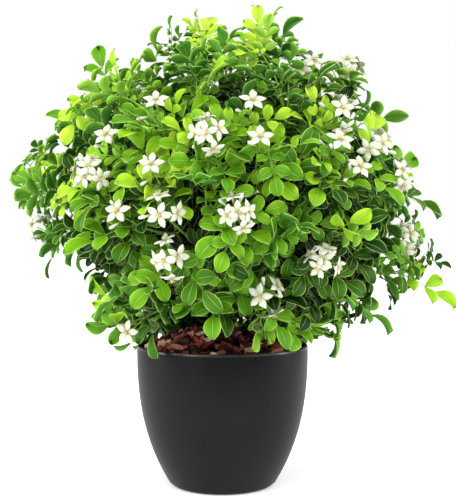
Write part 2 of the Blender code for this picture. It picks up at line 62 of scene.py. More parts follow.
MM = 0.001
UP = Vector((0, 0, 1))
SEAT_GAP = 0.3 * MM
WELD = 0.002 * MM
GOLDEN_ANGLE = math.pi * (3 - math.sqrt(5))

# Planter, soil and mulch, as in the solids
POT_HEIGHT = 165 * MM
POT_RIM_RADIUS = 100 * MM
POT_SHOULDER_RADIUS = 60 * MM
POT_FLAT_RADIUS = 50 * MM
POT_BELLY = 2.6
POT_WALL = 3.2 * MM
POT_LIP = 3 * MM
POT_FLOOR = 4 * MM
SOIL_TOP = 150 * MM
TRUNK_HOLE_RADIUS = 8.6 * MM
MULCH_RADIUS = 95.2 * MM
MULCH_EDGE = 5 * MM
MULCH_CROWN = 21 * MM

# Wood. A branch swells with the number of stems that it carries.
TRUNK_RADIUS = 8.0 * MM
TRUNK_COURSE = ((0, 0, 98.3), (0, 0, 177), (2.5, 1, 198), (4, -1.5, 212))
TRUNK_TAPER = (1, 1, 0.92, 0.8)
TRUNK_SMOOTHING = 10
BRANCH_SMOOTHING = 5
BRANCH_RADIUS = 1.9 * MM
BRANCH_SWELL = 0.42
BRANCH_RISE = 0.55
DETOUR_COST = 0.45
SEAT_HEART = Vector((0, 0, 232)) * MM
SEAT_SHARE = 0.5
SEAT_RUN = 10 * MM
STRAIGHT_RUN = 38 * MM

# Twigs
FORK_RUN = 14 * MM
TWIG_RADIUS = 1.5 * MM
FORKED_TWIG_RADIUS = 0.9 * TWIG_RADIUS
TWIG_TIP_RADIUS = 1.0 * MM
TWIG_BEND = 0.42
TWIG_STEPS = 3
CROWN_HEART = Vector((0, 20, 285)) * MM
LIFT = 0.25 * UP
SAMPLE = 4 * MM

# Leaves: the measures of a full-size leaf, which each leaf's size then scales
LEAF_SEED = 14
PETIOLE = 13 * MM
PAIR_SPACING = 19 * MM
END_RUN = 12 * MM
END_LEAFLET = (31 * MM, 10.5 * MM)
PAIR_LEAFLETS = ((27 * MM, 8.6 * MM), (23 * MM, 7.6 * MM))
PAIR_ANGLES = (math.radians(58), math.radians(68))
LEAF_ARCH = 3.2
LEAF_CUP = 0.16

# How leaves stand on their twig, and the room that they keep to other leaves, twigs and flowers.
# Spreads are in degrees off the twig.
END_LEAF_BACK = 2 * MM
SIDE_LEAF_BACK = 9 * MM
LEAF_STEP = 15 * MM
TWIG_BARE_SHARE = 0.3
END_LEAF_SPREAD = (15, 40)
SIDE_LEAF_SPREAD = (48, 76)
LEAF_TUFT = 32 * MM
TRY_TURN = 2.4
CELL = 10 * MM
LOWEST_LEAF = 146 * MM
RIM_ROOM = 6 * MM
MOUND_ROOM = 16 * MM
MOUND_SHARE = 0.6

# Flowers
PETALS = 5
PETAL_REACH = 14.5 * MM
PETAL_CURL = 3.0 * MM
CUP_DEPTH = 2.2 * MM
CLUSTER_STALK = 8 * MM
FLOWER_STALK = 17 * MM
CLUSTER_SPREAD = {1: 0.0, 2: math.radians(40), 3: math.radians(48)}
CLUSTER_LIFT = 0.15
FLOWER_TURN = 1.1
STALK_RADIUS = 0.9 * MM
SIDE_STALK_RADIUS = 0.6 * MM
SIDE_STALK_STEPS = 3

# The filled-out crown: its size, its lumps, and its outline as seen from the front
CROWN_CENTRE = Vector((9, 0, 335)) * MM
CROWN_REACH = (Vector((178, 168, 158)) * MM, Vector((178, 168, 130)) * MM)
FOOT_NARROWING = 0.32
CROWN_LUMPS = 0.3
CROWN_LUMP_SIZE = 3.0
BOX_SLACK = 5 * MM
FRONT_HALF = 20 * MM
MULCH_VIEW_SIDES = (-110 * MM, 20 * MM)
MULCH_VIEW_TOP = 205 * MM
# Each row is a height, and how far the crown reaches to the left and right there, in mm
CROWN_OUTLINE = (
    (140, -150, 100), (175, -148, 126), (190, -152, 184), (212, -162, 204), (231, -152, 236),
    (250, -180, 274), (268, -204, 264), (290, -224, 256), (315, -242, 240), (335, -242, 214),
    (360, -258, 216), (385, -245, 224), (400, -230, 178), (420, -198, 166), (450, -186, 184),
    (468, -162, 184), (490, -170, 158), (505, -160, 106), (520, -96, 98), (535, -80, 82),
    (562, -46, 74),
)

# Side twigs: shoots at the crown's edge, twigs all over the crown, and a skirt low round the back.
# The skirt's start and turn are in degrees, and a place's stray is in mm.
FILL_SEED = 3
SHOOTS = (
    (-226, -30, 372), (-204, -10, 390), (-216, 0, 340), (-184, -60, 344), (-172, 20, 414), (-196, 30, 300),
    (196, -40, 352), (228, -10, 300), (240, 10, 262), (204, -60, 270), (198, 50, 380), (-60, 10, 506),
    (-40, 20, 516), (46, -20, 532), (96, 10, 492), (-104, -10, 480), (-22, -60, 520), (66, 0, 510),
)
SHOOT_LEAF = 0.68
FILL_TWIGS = 290
FILL_LOWEST = -0.97
FILL_DEPTHS = (1.0, 0.74, 1.04, 0.55, 0.96, 0.8, 1.05, 0.66, 0.92)
OUTER_DEPTH = 0.9
SKIRT_TWIGS = 56
SKIRT_START = -20
SKIRT_TURN = 220
SKIRT_NARROWING = 0.85
SKIRT_PLACES = ((64 * MM, 200 * MM), (118 * MM, 184 * MM), (92 * MM, 197 * MM), (126 * MM, 192 * MM))
PLACE_STRAY = 8
HOLD_SHARES = (0.1, 0.25, 0.4, 0.55, 0.7, 0.82)
TURN_BACK_COST = 0.5
INWARD_COST = 2
LEAST_OUTWARD = 20 * MM
LEAD_AWAY = 0.6
FILL_STEPS = 4
FILL_TWIG_RADII = (1.1 * MM, 0.6 * MM)

# Tufts: the steps back along the twig, in mm, at which their leaves stand, and how far they spread
OUTER_TUFT = (1, 4, 8, 13, 19)
INNER_TUFT = (1, 4, 8, 12, 17, 24)
TUFT_SPREADS = ((12, 45), (35, 75))
TUFT_BARE_SHARE = 0.15
TUFT_BEHIND_FLOWERS = 10 * MM
TUFT_BEHIND_LEAVES = 4 * MM
LEAF_SIZE_BY_HEIGHT = (1.0, 0.64)

# Finer leaves and ribs
LEAFLET_FULLNESS = 0.93
LEAFLET_KINDS = 6
LEAFLET_ROWS = (0, 0.1, 0.24, 0.42, 0.6, 0.76, 0.89, 0.97, 1)
LEAFLET_THICKNESS = 0.012
LEAFLET_WAVES = 7
LEAFLET_TIP = 0.65
LEAFLET_ROLL = 0.3
LEAFLET_WIDTHS = (0.94, 1.08)
RIB_POINTS = 4
RIB_RADIUS = 0.45 * MM
RIB_TAPER = (1.3 * RIB_RADIUS, 0.8 * RIB_RADIUS)
TWIG_SMOOTHING = 4
FILL_SMOOTHING = 2

# A leaf's tone, from 0 when old and dark to 1 when young and bright. Deep in the crown, and most of all low
# under its middle, the tone is also lowered as painted shade
TUFT_VIGOUR = (-0.26, 0.5)
LEAF_TONE_STRAY = 0.08
LEAFLET_TONE_STRAY = 0.06
BRIGHT_DEPTH = 0.7
BRIGHT_RUN = 0.34
OUTER_TONE = 0.42
HEIGHT_TONE = 0.23
HEIGHT_TONE_RUN = 200 * MM
INNER_VIGOUR = 0.12
UNDER_SHADE_TOP = 235 * MM
UNDER_SHADE_RUN = 60 * MM
UNDER_SHADE_RADIUS = 150 * MM

# Fuller clusters. Reaches are in mm from the cluster's fork. An added flower's spread and the turn
# from bud to bud are in radians, and a bud's spread is in degrees.
FRONT = Vector((0, -1, 0.1))
FULL_CLUSTER = {1: 1, 2: 3, 3: 5}
FLOWER_SIZES = {1: (0.98, 1.08), 2: (0.92, 1.02), 3: (0.82, 0.94)}
SHOWING_STEPS = (0, 8 * MM, 16 * MM, 24 * MM)
SINGLE_TO_LIGHT = 0.7
SINGLE_LIFT = 0.35
ADDED_TRIES = 24
ADDED_SPREAD = (0.3, 1.7)
ADDED_TO_LIGHT = 0.6
ADDED_REACH = (14, 24)
CLUSTER_BUDS = {1: 2, 2: 3, 3: 4}
BUD_SPREAD = (25, 100)
BUD_TURN = 1.9
BUD_REACH = (8, 14)

# Finer flowers and buds. Shapes turned round an upright line are heights and radii in mm.
FLOWER_KINDS = 6
PETAL_ROWS = (0, 0.2, 0.45, 0.7, 0.9, 1)
FLOWER_OPENNESS = (0.7, 1.25)
PETAL_STRAY = 0.1
PETAL_FOOT = 1.2 * MM
PETAL_HALF_WIDTH = 3.5 * MM
PETAL_THICKNESS = 0.25 * MM
FLOWER_DEPTH = 7 * MM
FLOWER_TUBE = ((0.6, 1.9), (-1.5, 1.25), (-6, 0.95))
CALYX = ((-5, 1.5), (-6.4, 1.3), (-7.4, 0.6))
STYLE = ((-1, 0.35), (6.6, 0.3))
STIGMA_HEIGHT = 6.8 * MM
STAMENS = 10
STAMEN_TIPS = ((2.6, 6.0), (1.6, 4.6))
STAMEN_RADII = (0.22 * MM, 0.2 * MM, 0.14 * MM)
STAMEN_FOOT = -1 * MM
STAMEN_FOOT_SHARE = 0.4
STAMEN_BEND_SHARE = 0.6
ANTHER_RADIUS = 0.55 * MM
BUD_SHAPE = ((0, 0.6), (0.12, 1.15), (0.35, 1.35), (0.62, 2.0), (0.84, 1.9), (0.96, 1.0), (1, 0.3))
BUD_LENGTHS = (9, 11, 13)
BUD_CUP = ((-0.6, 0.6), (0.4, 1.3), (1.6, 1.5))

# Finer planter. Levels are shares of its height.
POT_STEPS = 160
WALL_TOP = 0.978
WALL_FOOT = 0.03
WALL_ROWS = 30
INNER_LEVELS = (0.06, 0.2, 0.4, 0.6, 0.8, 0.95, WALL_TOP)
FLOOR_INSET = 4 * MM
FOOT_ROUNDING = 9 * MM
FOOT_INSET = 0.4 * MM
FOOT_ROWS = 8
LIP_ROWS = 12
SHARP_ANGLE = math.radians(50)

# Bark chips. Lengths, thicknesses and lifts are in mm, and widths are shares of the length. Yaw,
# pitch and roll are in radians either way, and the first two lose these shares near the rim.
CHIP_SEED = 5
CHIP_KINDS = 7
BARK_CHIPS = 470
MULCH_STEPS = 64
MULCH_ROWS = 10
MOUND_SINK = 2 * MM
CHIP_RAGGEDNESS = 0.22
CHIPS_START = 12 * MM
CHIPS_RUN = 78 * MM
CHIP_LENGTHS = (7, 18)
CHIP_WIDTHS = (0.4, 0.75)
CHIP_THICKNESSES = (3, 7)
CHIP_LIFTS = (-3, 5)
MIDDLE_LIFT = 8
CHIP_YAW = 1.6
CHIP_PITCH = 0.7
CHIP_ROLL = 0.9
RIM_YAW_LOSS = 0.7
RIM_PITCH_LOSS = 0.6
NEAR_RIM_START = 60 * MM
NEAR_RIM_RUN = 30 * MM

# Bark on the wood: ridges in a metre across and along, and their height in mm
WOOD_EDGE = 4 * MM
BARK_RIDGES = (420, 420, 90)
BARK_DEPTH = 0.45

# Camera: its place and way, and its focal length in pixels of the photograph's longer side
CAMERA_PLACE = Vector((0, -1320, 322)) * MM
CAMERA_WAY = Vector((0.0049, 1, -0.0346))
CAMERA_FOCUS = 1128
FRAME_SIDE = 498

FLOOR_SIZE = 9

# Lights: place and strength, and for a softbox also its target and size
BROAD_LIGHT_WIDTH = math.radians(50)
BROAD_LIGHTS = (
    ("key_light", (-0.6, -1.3, 2.1), 1.75),
    ("fill_light", (1.3, -1.0, 1.2), 1.6),
    ("back_light", (0.3, 1.5, 1.8), 0.3),
)
SOFTBOXES = (
    ("low_left", (-1.1, -1.3, 0.45), 3.2, (0, 0, 0.2), (0.5, 0.9)),
    ("high_left", (-1.1, -0.75, 0.95), 6, (-0.05, -0.05, 0.17), (0.9, 0.4)),
    ("left_strip", (-1.5, -0.1, 0.5), 8, (0, 0, 0.2), (0.35, 1.2)),
    ("right_strip", (1.5, -0.1, 0.5), 7, (0, 0, 0.2), (0.35, 1.2)),
)

# Each leafy stem's twigs. A twig's tuft of leaves, or its flower cluster, is this many mm across,
# towards the back and up; then come the number of flowers at its tip and of leaves below.
LEAFY_STEMS = (
    ((60, 0, 541, 0, 2), (18, -20, 505, 0, 1), (100, -40, 492, 2, 1)),
    ((-25, 0, 532, 0, 2), (-85, -20, 495, 0, 2), (-32, -130, 458, 0, 1)),
    ((20, -150, 440, 0, 1), (-15, -195, 405, 3, 1), (30, -172, 432, 1, 0)),
    ((80, -125, 450, 0, 1), (125, -140, 432, 2, 1), (40, -192, 395, 1, 1)),
    ((150, -20, 490, 2, 1), (182, -5, 448, 0, 2)),
    ((122, -165, 392, 1, 0), (168, -125, 396, 2, 1), (142, -152, 366, 1, 0)),
    ((-145, -20, 480, 0, 2), (-178, -20, 440, 0, 2)),
    ((-70, -165, 432, 1, 1), (-120, -152, 398, 1, 0), (-142, -148, 365, 3, 1)),
    ((-226, -20, 362, 0, 2), (-215, 0, 300, 2, 1)),
    ((-105, -178, 320, 1, 1), (-72, -195, 365, 1, 1)),
    ((-20, -195, 360, 0, 1), (-62, -200, 325, 2, 0), (-55, -185, 280, 3, 1)),
    ((14, -208, 322, 3, 1), (45, -180, 272, 0, 2)),
    ((80, -180, 372, 0, 2), (88, -185, 318, 0, 1)),
    ((148, -145, 308, 0, 2), (110, -158, 270, 3, 0), (196, -92, 366, 2, 1)),
    ((218, -25, 290, 3, 1), (240, -10, 252, 0, 2)),
    ((-158, -60, 268, 0, 2), (-108, -135, 250, 0, 1), (-106, -80, 192, 1, 1)),
    ((-130, -75, 184, 0, 2), (-10, -155, 240, 0, 2), (-62, -92, 206, 0, 1)),
    ((48, -148, 234, 2, 1), (55, -118, 196, 0, 2)),
    ((180, -45, 216, 0, 2), (104, -88, 196, 0, 1), (130, -100, 240, 0, 1)),
    ((-50, 120, 455, 0, 1), (15, 150, 440, 2, 1), (-15, 60, 505, 0, 1)),
    ((100, 105, 445, 2, 1), (150, 130, 370, 0, 1)),
    ((-140, 100, 405, 2, 1), (-190, 80, 325, 0, 2)),
    ((-60, 180, 370, 0, 1), (0, 195, 325, 2, 1)),
    ((75, 180, 350, 1, 1), (110, 145, 275, 0, 2)),
    ((195, 80, 290, 1, 0), (222, 20, 385, 0, 2)),
    ((-100, 145, 262, 0, 1), (-30, 155, 240, 0, 1), (-145, 60, 225, 0, 1)),
    ((140, 80, 225, 0, 1), (60, 115, 212, 0, 1)),
)

Stem = namedtuple("Stem", "seat heading fork twigs leaves")
Twig = namedtuple("Twig", "path flowers leaves cluster")
Leaflet = namedtuple("Leaflet", "root angle length half_width")
Leaf = namedtuple("Leaf", "frame leaflets")
Flower = namedtuple("Flower", "centre facing turn")
Cluster = namedtuple("Cluster", "root fork flowers")
SideTwig = namedtuple("SideTwig", "path leaves")
Spray = namedtuple("Spray", "cluster buds grown")

# How leaves are drawn. They face a mix of four ways, with these weights: along the twig, up, out
# from the centre, and any way. The ones that are kept in stay inside the crown's outline.
Habit = namedtuple("Habit", "pairs sizes sag centre facing good_room least_room tries kept_in")
GROWN_LEAVES = Habit(
    pairs=(1, 2), sizes=(0.92, 1.08), sag=(-0.3, 0.1), centre=CROWN_HEART, facing=(1, 0.5, 0.4, 0.6),
    good_room=7.8 * MM, least_room=6.0 * MM, tries=26, kept_in=False,
)
FILLING_LEAVES = Habit(
    pairs=(1, 2, 2), sizes=(0.82, 1.12), sag=(-0.3, 0.15), centre=CROWN_CENTRE, facing=(0.6, 0.4, 0.8, 0.75),
    good_room=5.0 * MM, least_room=2.6 * MM, tries=7, kept_in=True,
)


# Growth: where every branch, twig, leaf and flower goes


def frame_at(root, along, face):
    """A matrix at the root whose X runs along and whose Z is as near to face as it can be."""
    x = along.normalized()
    z = (face - x * face.dot(x)).normalized()
    return Matrix.Translation(root) @ Matrix((x, z.cross(x), z)).transposed().to_4x4()


def bent_path(start, control, end, steps):
    """Points on a curve that leaves start towards control and reaches end from it."""
    shares = [step / steps for step in range(steps + 1)]
    return [start.lerp(control, t).lerp(control.lerp(end, t), t) for t in shares]


def path_length(path):
    return sum((b - a).length for a, b in zip(path, path[1:]))


def along_path(path, distance):
    """The point at this distance along the path, and the direction there."""
    for a, b in zip(path, path[1:]):
        length = (b - a).length
        if distance <= length or b is path[-1]:
            return a.lerp(b, min(distance / length, 1)), (b - a).normalized()
        distance -= length


def spaced_points(path, spacing):
    """Points along the path, no further apart than this spacing."""
    total = path_length(path)
    count = max(2, math.ceil(total / spacing) + 1)
    return [along_path(path, total * i / (count - 1))[0] for i in range(count)]


def stray(draws):
    """A random vector, up to 1 each way."""
    return Vector([draws.uniform(-1, 1) for _ in range(3)])


class TakenSpace:
    """Points that wood, leaves and flowers already fill, sorted into cubic cells."""

    def __init__(self):
        self.cells = {}

    def fill(self, points):
        for point in points:
            cell = tuple(math.floor(c / CELL) for c in point)
            self.cells.setdefault(cell, []).append(point.copy())

    def room(self, points):
        """Distance from these points to the nearest taken one, as far as one cell."""
        nearest = CELL
        steps = (-1, 0, 1)
        for point in points:
            i, j, k = (math.floor(c / CELL) for c in point)
            for cell in ((i + a, j + b, k + c) for a in steps for b in steps for c in steps):
                for other in self.cells.get(cell, ()):
                    nearest = min(nearest, (other - point).length)
        return nearest


def grow_stem(tips):
    """A leafy stem's seat, and a twig to each of its tips."""
    places = [Vector(tip[:3]) * MM for tip in tips]
    middle = sum(places, Vector()) / len(places)
    seat = SEAT_HEART.lerp(middle, SEAT_SHARE)
    heading = ((middle - seat).normalized() + LIFT).normalized()
    fork = seat + heading * FORK_RUN
    twigs = []
    for (*_, flowers, leaves), place in zip(tips, places):
        outward = ((place - CROWN_HEART).normalized() + LIFT).normalized()
        end = place - outward * (cluster_reach(flowers) if flowers else LEAF_TUFT)
        control = end - outward * (end - fork).length * TWIG_BEND
        path = bent_path(fork, control, end, TWIG_STEPS)
        outward = (path[-1] - path[-2]).normalized()
        cluster = grow_cluster(path[-1], outward, flowers, sum(place) / MM) if flowers else None
        twigs.append(Twig(path, flowers, leaves, cluster))
    return Stem(seat, heading, fork, twigs, [])


def grow_wood(stems):
    """Joins each seat to the wood already grown, the nearest seat first.

    A piece of wood is its point, the index of the piece before it, the way to the trunk's foot,
    the number of stems that it carries and whether a stem sits on it. A branch is the indices of
    its pieces, from the one that it leaves.
    """
    wood, branches = [], []
    for index, place in enumerate(TRUNK_COURSE):
        point = Vector(place) * MM
        wood.append({"point": point, "before": index - 1, "way": point.z, "load": 0, "end": False})
    crotch = wood[-1]["point"]
    for stem in sorted(stems, key=lambda s: (s.seat - crotch).length):
        knee = stem.seat - stem.heading * SEAT_RUN
        open_wood = [i for i, piece in enumerate(wood) if i > 1 and not piece["end"]]
        nearness = {i: (wood[i]["point"] - knee).length + DETOUR_COST * wood[i]["way"] for i in open_wood}
        parent = min(nearness, key=nearness.get)
        start = wood[parent]["point"]
        reach = (knee - start).length
        rise = UP * BRANCH_RISE + (knee - start).normalized() * (1 - BRANCH_RISE)
        bends = bent_path(start, start + rise * reach / 2, knee, 2 if reach > STRAIGHT_RUN else 1)
        branch = [parent]
        for point in (*bends[1:], stem.seat):
            before = wood[branch[-1]]
            way = before["way"] + (point - before["point"]).length
            wood.append({"point": point, "before": branch[-1], "way": way, "load": 0, "end": False})
            branch.append(len(wood) - 1)
        wood[-1]["end"] = True
        branches.append(branch)
    for branch in branches:
        index = branch[-1]
        while index >= 0:
            wood[index]["load"] += 1
            index = wood[index]["before"]
    return wood, branches


def cluster_reach(flowers):
    """How far the middle of a cluster of this many flowers stands off its twig."""
    return CLUSTER_STALK + FLOWER_STALK * math.cos(CLUSTER_SPREAD[flowers])


def tilted(middle, spread):
    """A direction at this spread from the middle one."""
    return Quaternion(middle.cross(UP).normalized(), spread) @ middle


def grow_cluster(end, outward, flowers, turn):
    """A stalk at the twig's end, and the flowers that fork from it, spread evenly round it."""
    root = end + outward * SEAT_GAP
    fork = root + outward * CLUSTER_STALK
    middle = (outward + CLUSTER_LIFT * UP).normalized()
    first = tilted(middle, CLUSTER_SPREAD[flowers])
    grown = []
    for index in range(flowers):
        facing = Quaternion(middle, turn + 2 * math.pi * index / flowers) @ first
        grown.append(Flower(fork + facing * FLOWER_STALK, facing, FLOWER_TURN * index))
    return Cluster(root, fork, grown)


def cluster_points(cluster):
    """Points spread over a cluster, for keeping clear of it."""
    points = spaced_points([cluster.root, cluster.fork], SAMPLE)
    for flower in cluster.flowers:
        points += spaced_points([cluster.fork, flower.centre], SAMPLE)
        place = frame_at(flower.centre, flower.facing.orthogonal(), flower.facing)
        for radius, count in ((0.5 * PETAL_REACH, 6), (PETAL_REACH, 12)):
            angles = [2 * math.pi * i / count for i in range(count)]
            points += [place @ Vector((radius * math.cos(a), radius * math.sin(a), 0)) for a in angles]
    return points


def leaflets_of(pairs, size):
    """A leaf's leaflets: pairs along its rib, the smaller ones nearer its foot, and one at its end."""
    leaflets = []
    for number in range(pairs):
        from_end = pairs - 1 - number
        root = (PETIOLE + PAIR_SPACING * number) * size
        length, half_width = (measure * size for measure in PAIR_LEAFLETS[from_end])
        for side in (-1, 1):
            leaflets.append(Leaflet(root, side * PAIR_ANGLES[from_end], length, half_width))
    root = (PETIOLE + PAIR_SPACING * (pairs - 1) + END_RUN) * size
    return leaflets + [Leaflet(root, 0.0, END_LEAFLET[0] * size, END_LEAFLET[1] * size)]


def on_leaflet(leaflet, along, across):
    """The point at these shares of a leaflet's length and half width, in the leaf's own plane."""
    u, v = along * leaflet.length, across * leaflet.half_width
    x = leaflet.root + u * math.cos(leaflet.angle) - v * math.sin(leaflet.angle)
    return x, u * math.sin(leaflet.angle) + v * math.cos(leaflet.angle)


def arched(x, y):
    """A point of the leaf's plane, lifted beside the rib and drooping towards the leaf's end."""
    return Vector((x, y, LEAF_CUP * abs(y) - LEAF_ARCH * x * x))


def leaf_points(leaf):
    """Points spread over a leaf, for keeping it clear of others."""
    spots = ((0.3, 0), (0.62, 0), (0.95, 0), (0.55, 0.9), (0.55, -0.9), (0.85, 0.5), (0.85, -0.5))
    return [leaf.frame @ arched(*on_leaflet(leaflet, *spot)) for leaflet in leaf.leaflets for spot in spots]


def clear_of_pot(points):
    """Whether all points stay off the mulch mound and outside the planter's rim."""
    for point in points:
        radius = math.hypot(point.x, point.y)
        over_rim = radius > POT_RIM_RADIUS + RIM_ROOM or point.z > POT_HEIGHT + RIM_ROOM
        beside_mound = radius > MOUND_SHARE * POT_RIM_RADIUS
        over_mound = beside_mound or point.z > SOIL_TOP + MULCH_CROWN + MOUND_ROOM
        if point.z < LOWEST_LEAF or not over_rim or not over_mound:
            return False
    return True


def in_outline(point):
    """Whether a point shows inside the crown's outline, as seen from the front."""
    nearness = CAMERA_PLACE.y / (CAMERA_PLACE.y - point.y)
    across = point.x * nearness / MM
    height = (CAMERA_PLACE.z + (point.z - CAMERA_PLACE.z) * nearness) / MM
    for (low, *low_reach), (high, *high_reach) in zip(CROWN_OUTLINE, CROWN_OUTLINE[1:]):
        if low <= height < high:
            share = (height - low) / (high - low)
            left, right = (a + (b - a) * share for a, b in zip(low_reach, high_reach))
            return left < across < right
    return False


def free_to_fill(points):
    """Whether all points leave the bark in view, and keep to the crown's outline and the solids' box."""
    low, high = solid_bounds
    left, right = MULCH_VIEW_SIDES
    for point in points:
        before_mulch = point.y < FRONT_HALF and left < point.x < right and point.z < MULCH_VIEW_TOP
        in_box = all(low[i] - BOX_SLACK < point[i] < high[i] + BOX_SLACK for i in range(3))
        if before_mulch or not in_box or not in_outline(point):
            return False
    return True


def set_leaf(path, distance, spread, scale, habit, draws, space):
    """Sets a leaf on a twig in the first drawn pose with good room, or in the one with the most.

    There is no leaf where none of its poses has the least room.
    """
    root, heading = along_path(path, distance)
    leaflets = leaflets_of(draws.choice(habit.pairs), scale * draws.uniform(*habit.sizes))
    beside = heading.orthogonal().normalized()
    first_turn = draws.uniform(0, 2 * math.pi)
    outward = (root - habit.centre).normalized()
    ahead, up, out, astray = habit.facing
    best, best_room = None, habit.least_room
    for attempt in range(habit.tries):
        lean = math.radians(draws.uniform(*spread))
        off = Quaternion(heading, first_turn + TRY_TURN * attempt) @ beside
        along = heading * math.cos(lean) + off * math.sin(lean) + UP * draws.uniform(*habit.sag)
        face = ahead * heading + up * UP + out * outward + astray * stray(draws)
        leaf = Leaf(frame_at(root, along, face), leaflets)
        points = leaf_points(leaf)
        fits = clear_of_pot(points) and (not habit.kept_in or free_to_fill(points))
        room = space.room(points) if fits else 0
        if room > best_room:
            best, best_room = leaf, room
        if room >= habit.good_room:
            break
    if best:
        space.fill(leaf_points(best))
    return best


def grow():
    """The shrub as its solids have it: stems with twigs, clusters and leaves, wood, and the room taken."""
    stems = [grow_stem(tips) for tips in LEAFY_STEMS]
    wood, branches = grow_wood(stems)
    space = TakenSpace()
    for branch in branches:
        space.fill(spaced_points([wood[i]["point"] for i in branch], SAMPLE))
    for stem in stems:
        space.fill(spaced_points([stem.seat, stem.fork], SAMPLE))
        for twig in stem.twigs:
            space.fill(spaced_points(twig.path, SAMPLE))
            if twig.cluster:
                space.fill(cluster_points(twig.cluster))
    draws = random.Random(LEAF_SEED)
    for stem in stems:
        for twig in stem.twigs:
            length = path_length(twig.path)
            for index in range(twig.leaves):
                at_end = index == 0 and not twig.cluster
                back = END_LEAF_BACK if at_end else SIDE_LEAF_BACK + LEAF_STEP * index
                distance = max(length - back, TWIG_BARE_SHARE * length)
                spread = END_LEAF_SPREAD if at_end else SIDE_LEAF_SPREAD
                leaf = set_leaf(twig.path, distance, spread, 1, GROWN_LEAVES, draws, space)
                if leaf:
                    stem.leaves.append(leaf)
    return stems, wood, branches, space


# Filling out: twigs, leaves, flowers and buds that the solids leave out


def size_at(height):
    """The size of the filling leaves at a height: they get smaller towards the crown's top."""
    low, high = solid_bounds[0].z + POT_HEIGHT, solid_bounds[1].z
    share = (height - low) / (high - low)
    return LEAF_SIZE_BY_HEIGHT[0] + (LEAF_SIZE_BY_HEIGHT[1] - LEAF_SIZE_BY_HEIGHT[0]) * share


def tuft(path, back, steps, scale, draws, space):
    """Leaves close together at a twig's end, or this far back from it, as many as there is room for."""
    length = path_length(path)
    leaves = []
    for index, step in enumerate(steps):
        distance = length - back - step * MM
        if distance > TUFT_BARE_SHARE * length:
            spread = TUFT_SPREADS[0 if index == 0 and not back else 1]
            size = scale * size_at(along_path(path, distance)[0].z)
            leaves.append(set_leaf(path, distance, spread, size, FILLING_LEAVES, draws, space))
    return [leaf for leaf in leaves if leaf]


def crown_place(index, depth):
    """The index-th of many places spread evenly over the lumpy crown, this deep in it."""
    height = 1 - (1 - FILL_LOWEST) * (index + 0.5) / FILL_TWIGS
    ring = math.sqrt(1 - height * height)
    turn = GOLDEN_ANGLE * index
    way = Vector((ring * math.cos(turn), ring * math.sin(turn), height))
    lump = 1 + CROWN_LUMPS * noise.noise(way * CROWN_LUMP_SIZE)
    reach = CROWN_REACH[0 if height > 0 else 1] * depth * lump
    narrowed = 1 + FOOT_NARROWING * min(0, height)
    return CROWN_CENTRE + Vector((way.x * reach.x * narrowed, way.y * reach.y * narrowed, way.z * reach.z))


def skirt_place(index):
    """The index-th of the places low round the back, where leaves close the view under the crown."""
    turn = math.radians(SKIRT_START + SKIRT_TURN * (index + 0.5) / SKIRT_TWIGS)
    radius, height = SKIRT_PLACES[index % len(SKIRT_PLACES)]
    return Vector((SKIRT_NARROWING * radius * math.cos(turn), radius * math.sin(turn), height))


def holds(stems):
    """Places on the twigs that side twigs can leave from: each point, the way there and its stem."""
    found = []
    for number, stem in enumerate(stems):
        for twig in stem.twigs:
            length = path_length(twig.path)
            found += [(*along_path(twig.path, share * length), number) for share in HOLD_SHARES]
    return found


def side_path(place, found):
    """A twig's path to this place, from the hold that suits it best, and the stem of that hold."""
    def cost(hold):
        point, heading, _ = hold
        away = place - point
        outward = (place - CROWN_CENTRE).length - (point - CROWN_CENTRE).length
        turn_back = 1 - heading.dot(away.normalized())
        return away.length * (1 + TURN_BACK_COST * turn_back) + INWARD_COST * max(0, LEAST_OUTWARD - outward)
    point, heading, number = min(found, key=cost)
    reach = (place - point).length
    lead = (heading + LEAD_AWAY * (place - point).normalized()).normalized()
    return bent_path(point, point + lead * reach * 0.5, place, FILL_STEPS), number


def around(middle, spread, turn):
    """A direction at this spread from the middle one, turned about it."""
    return Quaternion(middle, turn) @ tilted(middle, spread)


def grow_spray(number, cluster):
    """A cluster in full: the solids' flowers, more in the gaps between them, and where its buds stand."""
    draws = random.Random(number)
    outward = (cluster.fork - cluster.root).normalized()
    lit = FRONT if cluster.fork.y < FRONT_HALF else outward
    count = len(cluster.flowers)
    flowers = list(cluster.flowers)
    if count == 1:
        centre, facing, turn = flowers[0]
        flowers = [Flower(centre, (facing + SINGLE_TO_LIGHT * lit + SINGLE_LIFT * UP).normalized(), turn)]
    while len(flowers) < FULL_CLUSTER[count]:
        ways = []
        for _ in range(ADDED_TRIES):
            ways.append(around(outward, draws.uniform(*ADDED_SPREAD), draws.uniform(0, 2 * math.pi)))
        gaps = [min(way.angle(flower.facing) for flower in flowers) for way in ways]
        values = [gap + ADDED_TO_LIGHT * way.dot(lit) for gap, way in zip(gaps, ways)]
        facing = ways[values.index(max(values))]
        centre = cluster.fork + facing * draws.uniform(*ADDED_REACH) * MM
        flowers.append(Flower(centre, facing, len(flowers)))
    buds = []
    for index in range(CLUSTER_BUDS[count]):
        spread = math.radians(draws.uniform(*BUD_SPREAD))
        facing = around(outward, spread, BUD_TURN * index + draws.uniform(0, 1))
        buds.append((cluster.fork + facing * draws.uniform(*BUD_REACH) * MM, facing))
    return Spray(Cluster(cluster.root, cluster.fork, flowers), buds, count)


def grow_sprays(stems, space):
    """Every cluster in full, with free space kept in front of its flowers so that they show."""
    clusters = [twig.cluster for stem in stems for twig in stem.twigs if twig.cluster]
    sprays = [grow_spray(number, cluster) for number, cluster in enumerate(clusters)]
    for spray in sprays:
        outward = (spray.cluster.fork - CROWN_CENTRE).normalized()
        points = cluster_points(spray.cluster)
        for step in SHOWING_STEPS:
            space.fill([point + outward * step for point in points])
            if spray.cluster.fork.y < FRONT_HALF:
                space.fill([point + FRONT * 2 * step for point in points])
    return sprays


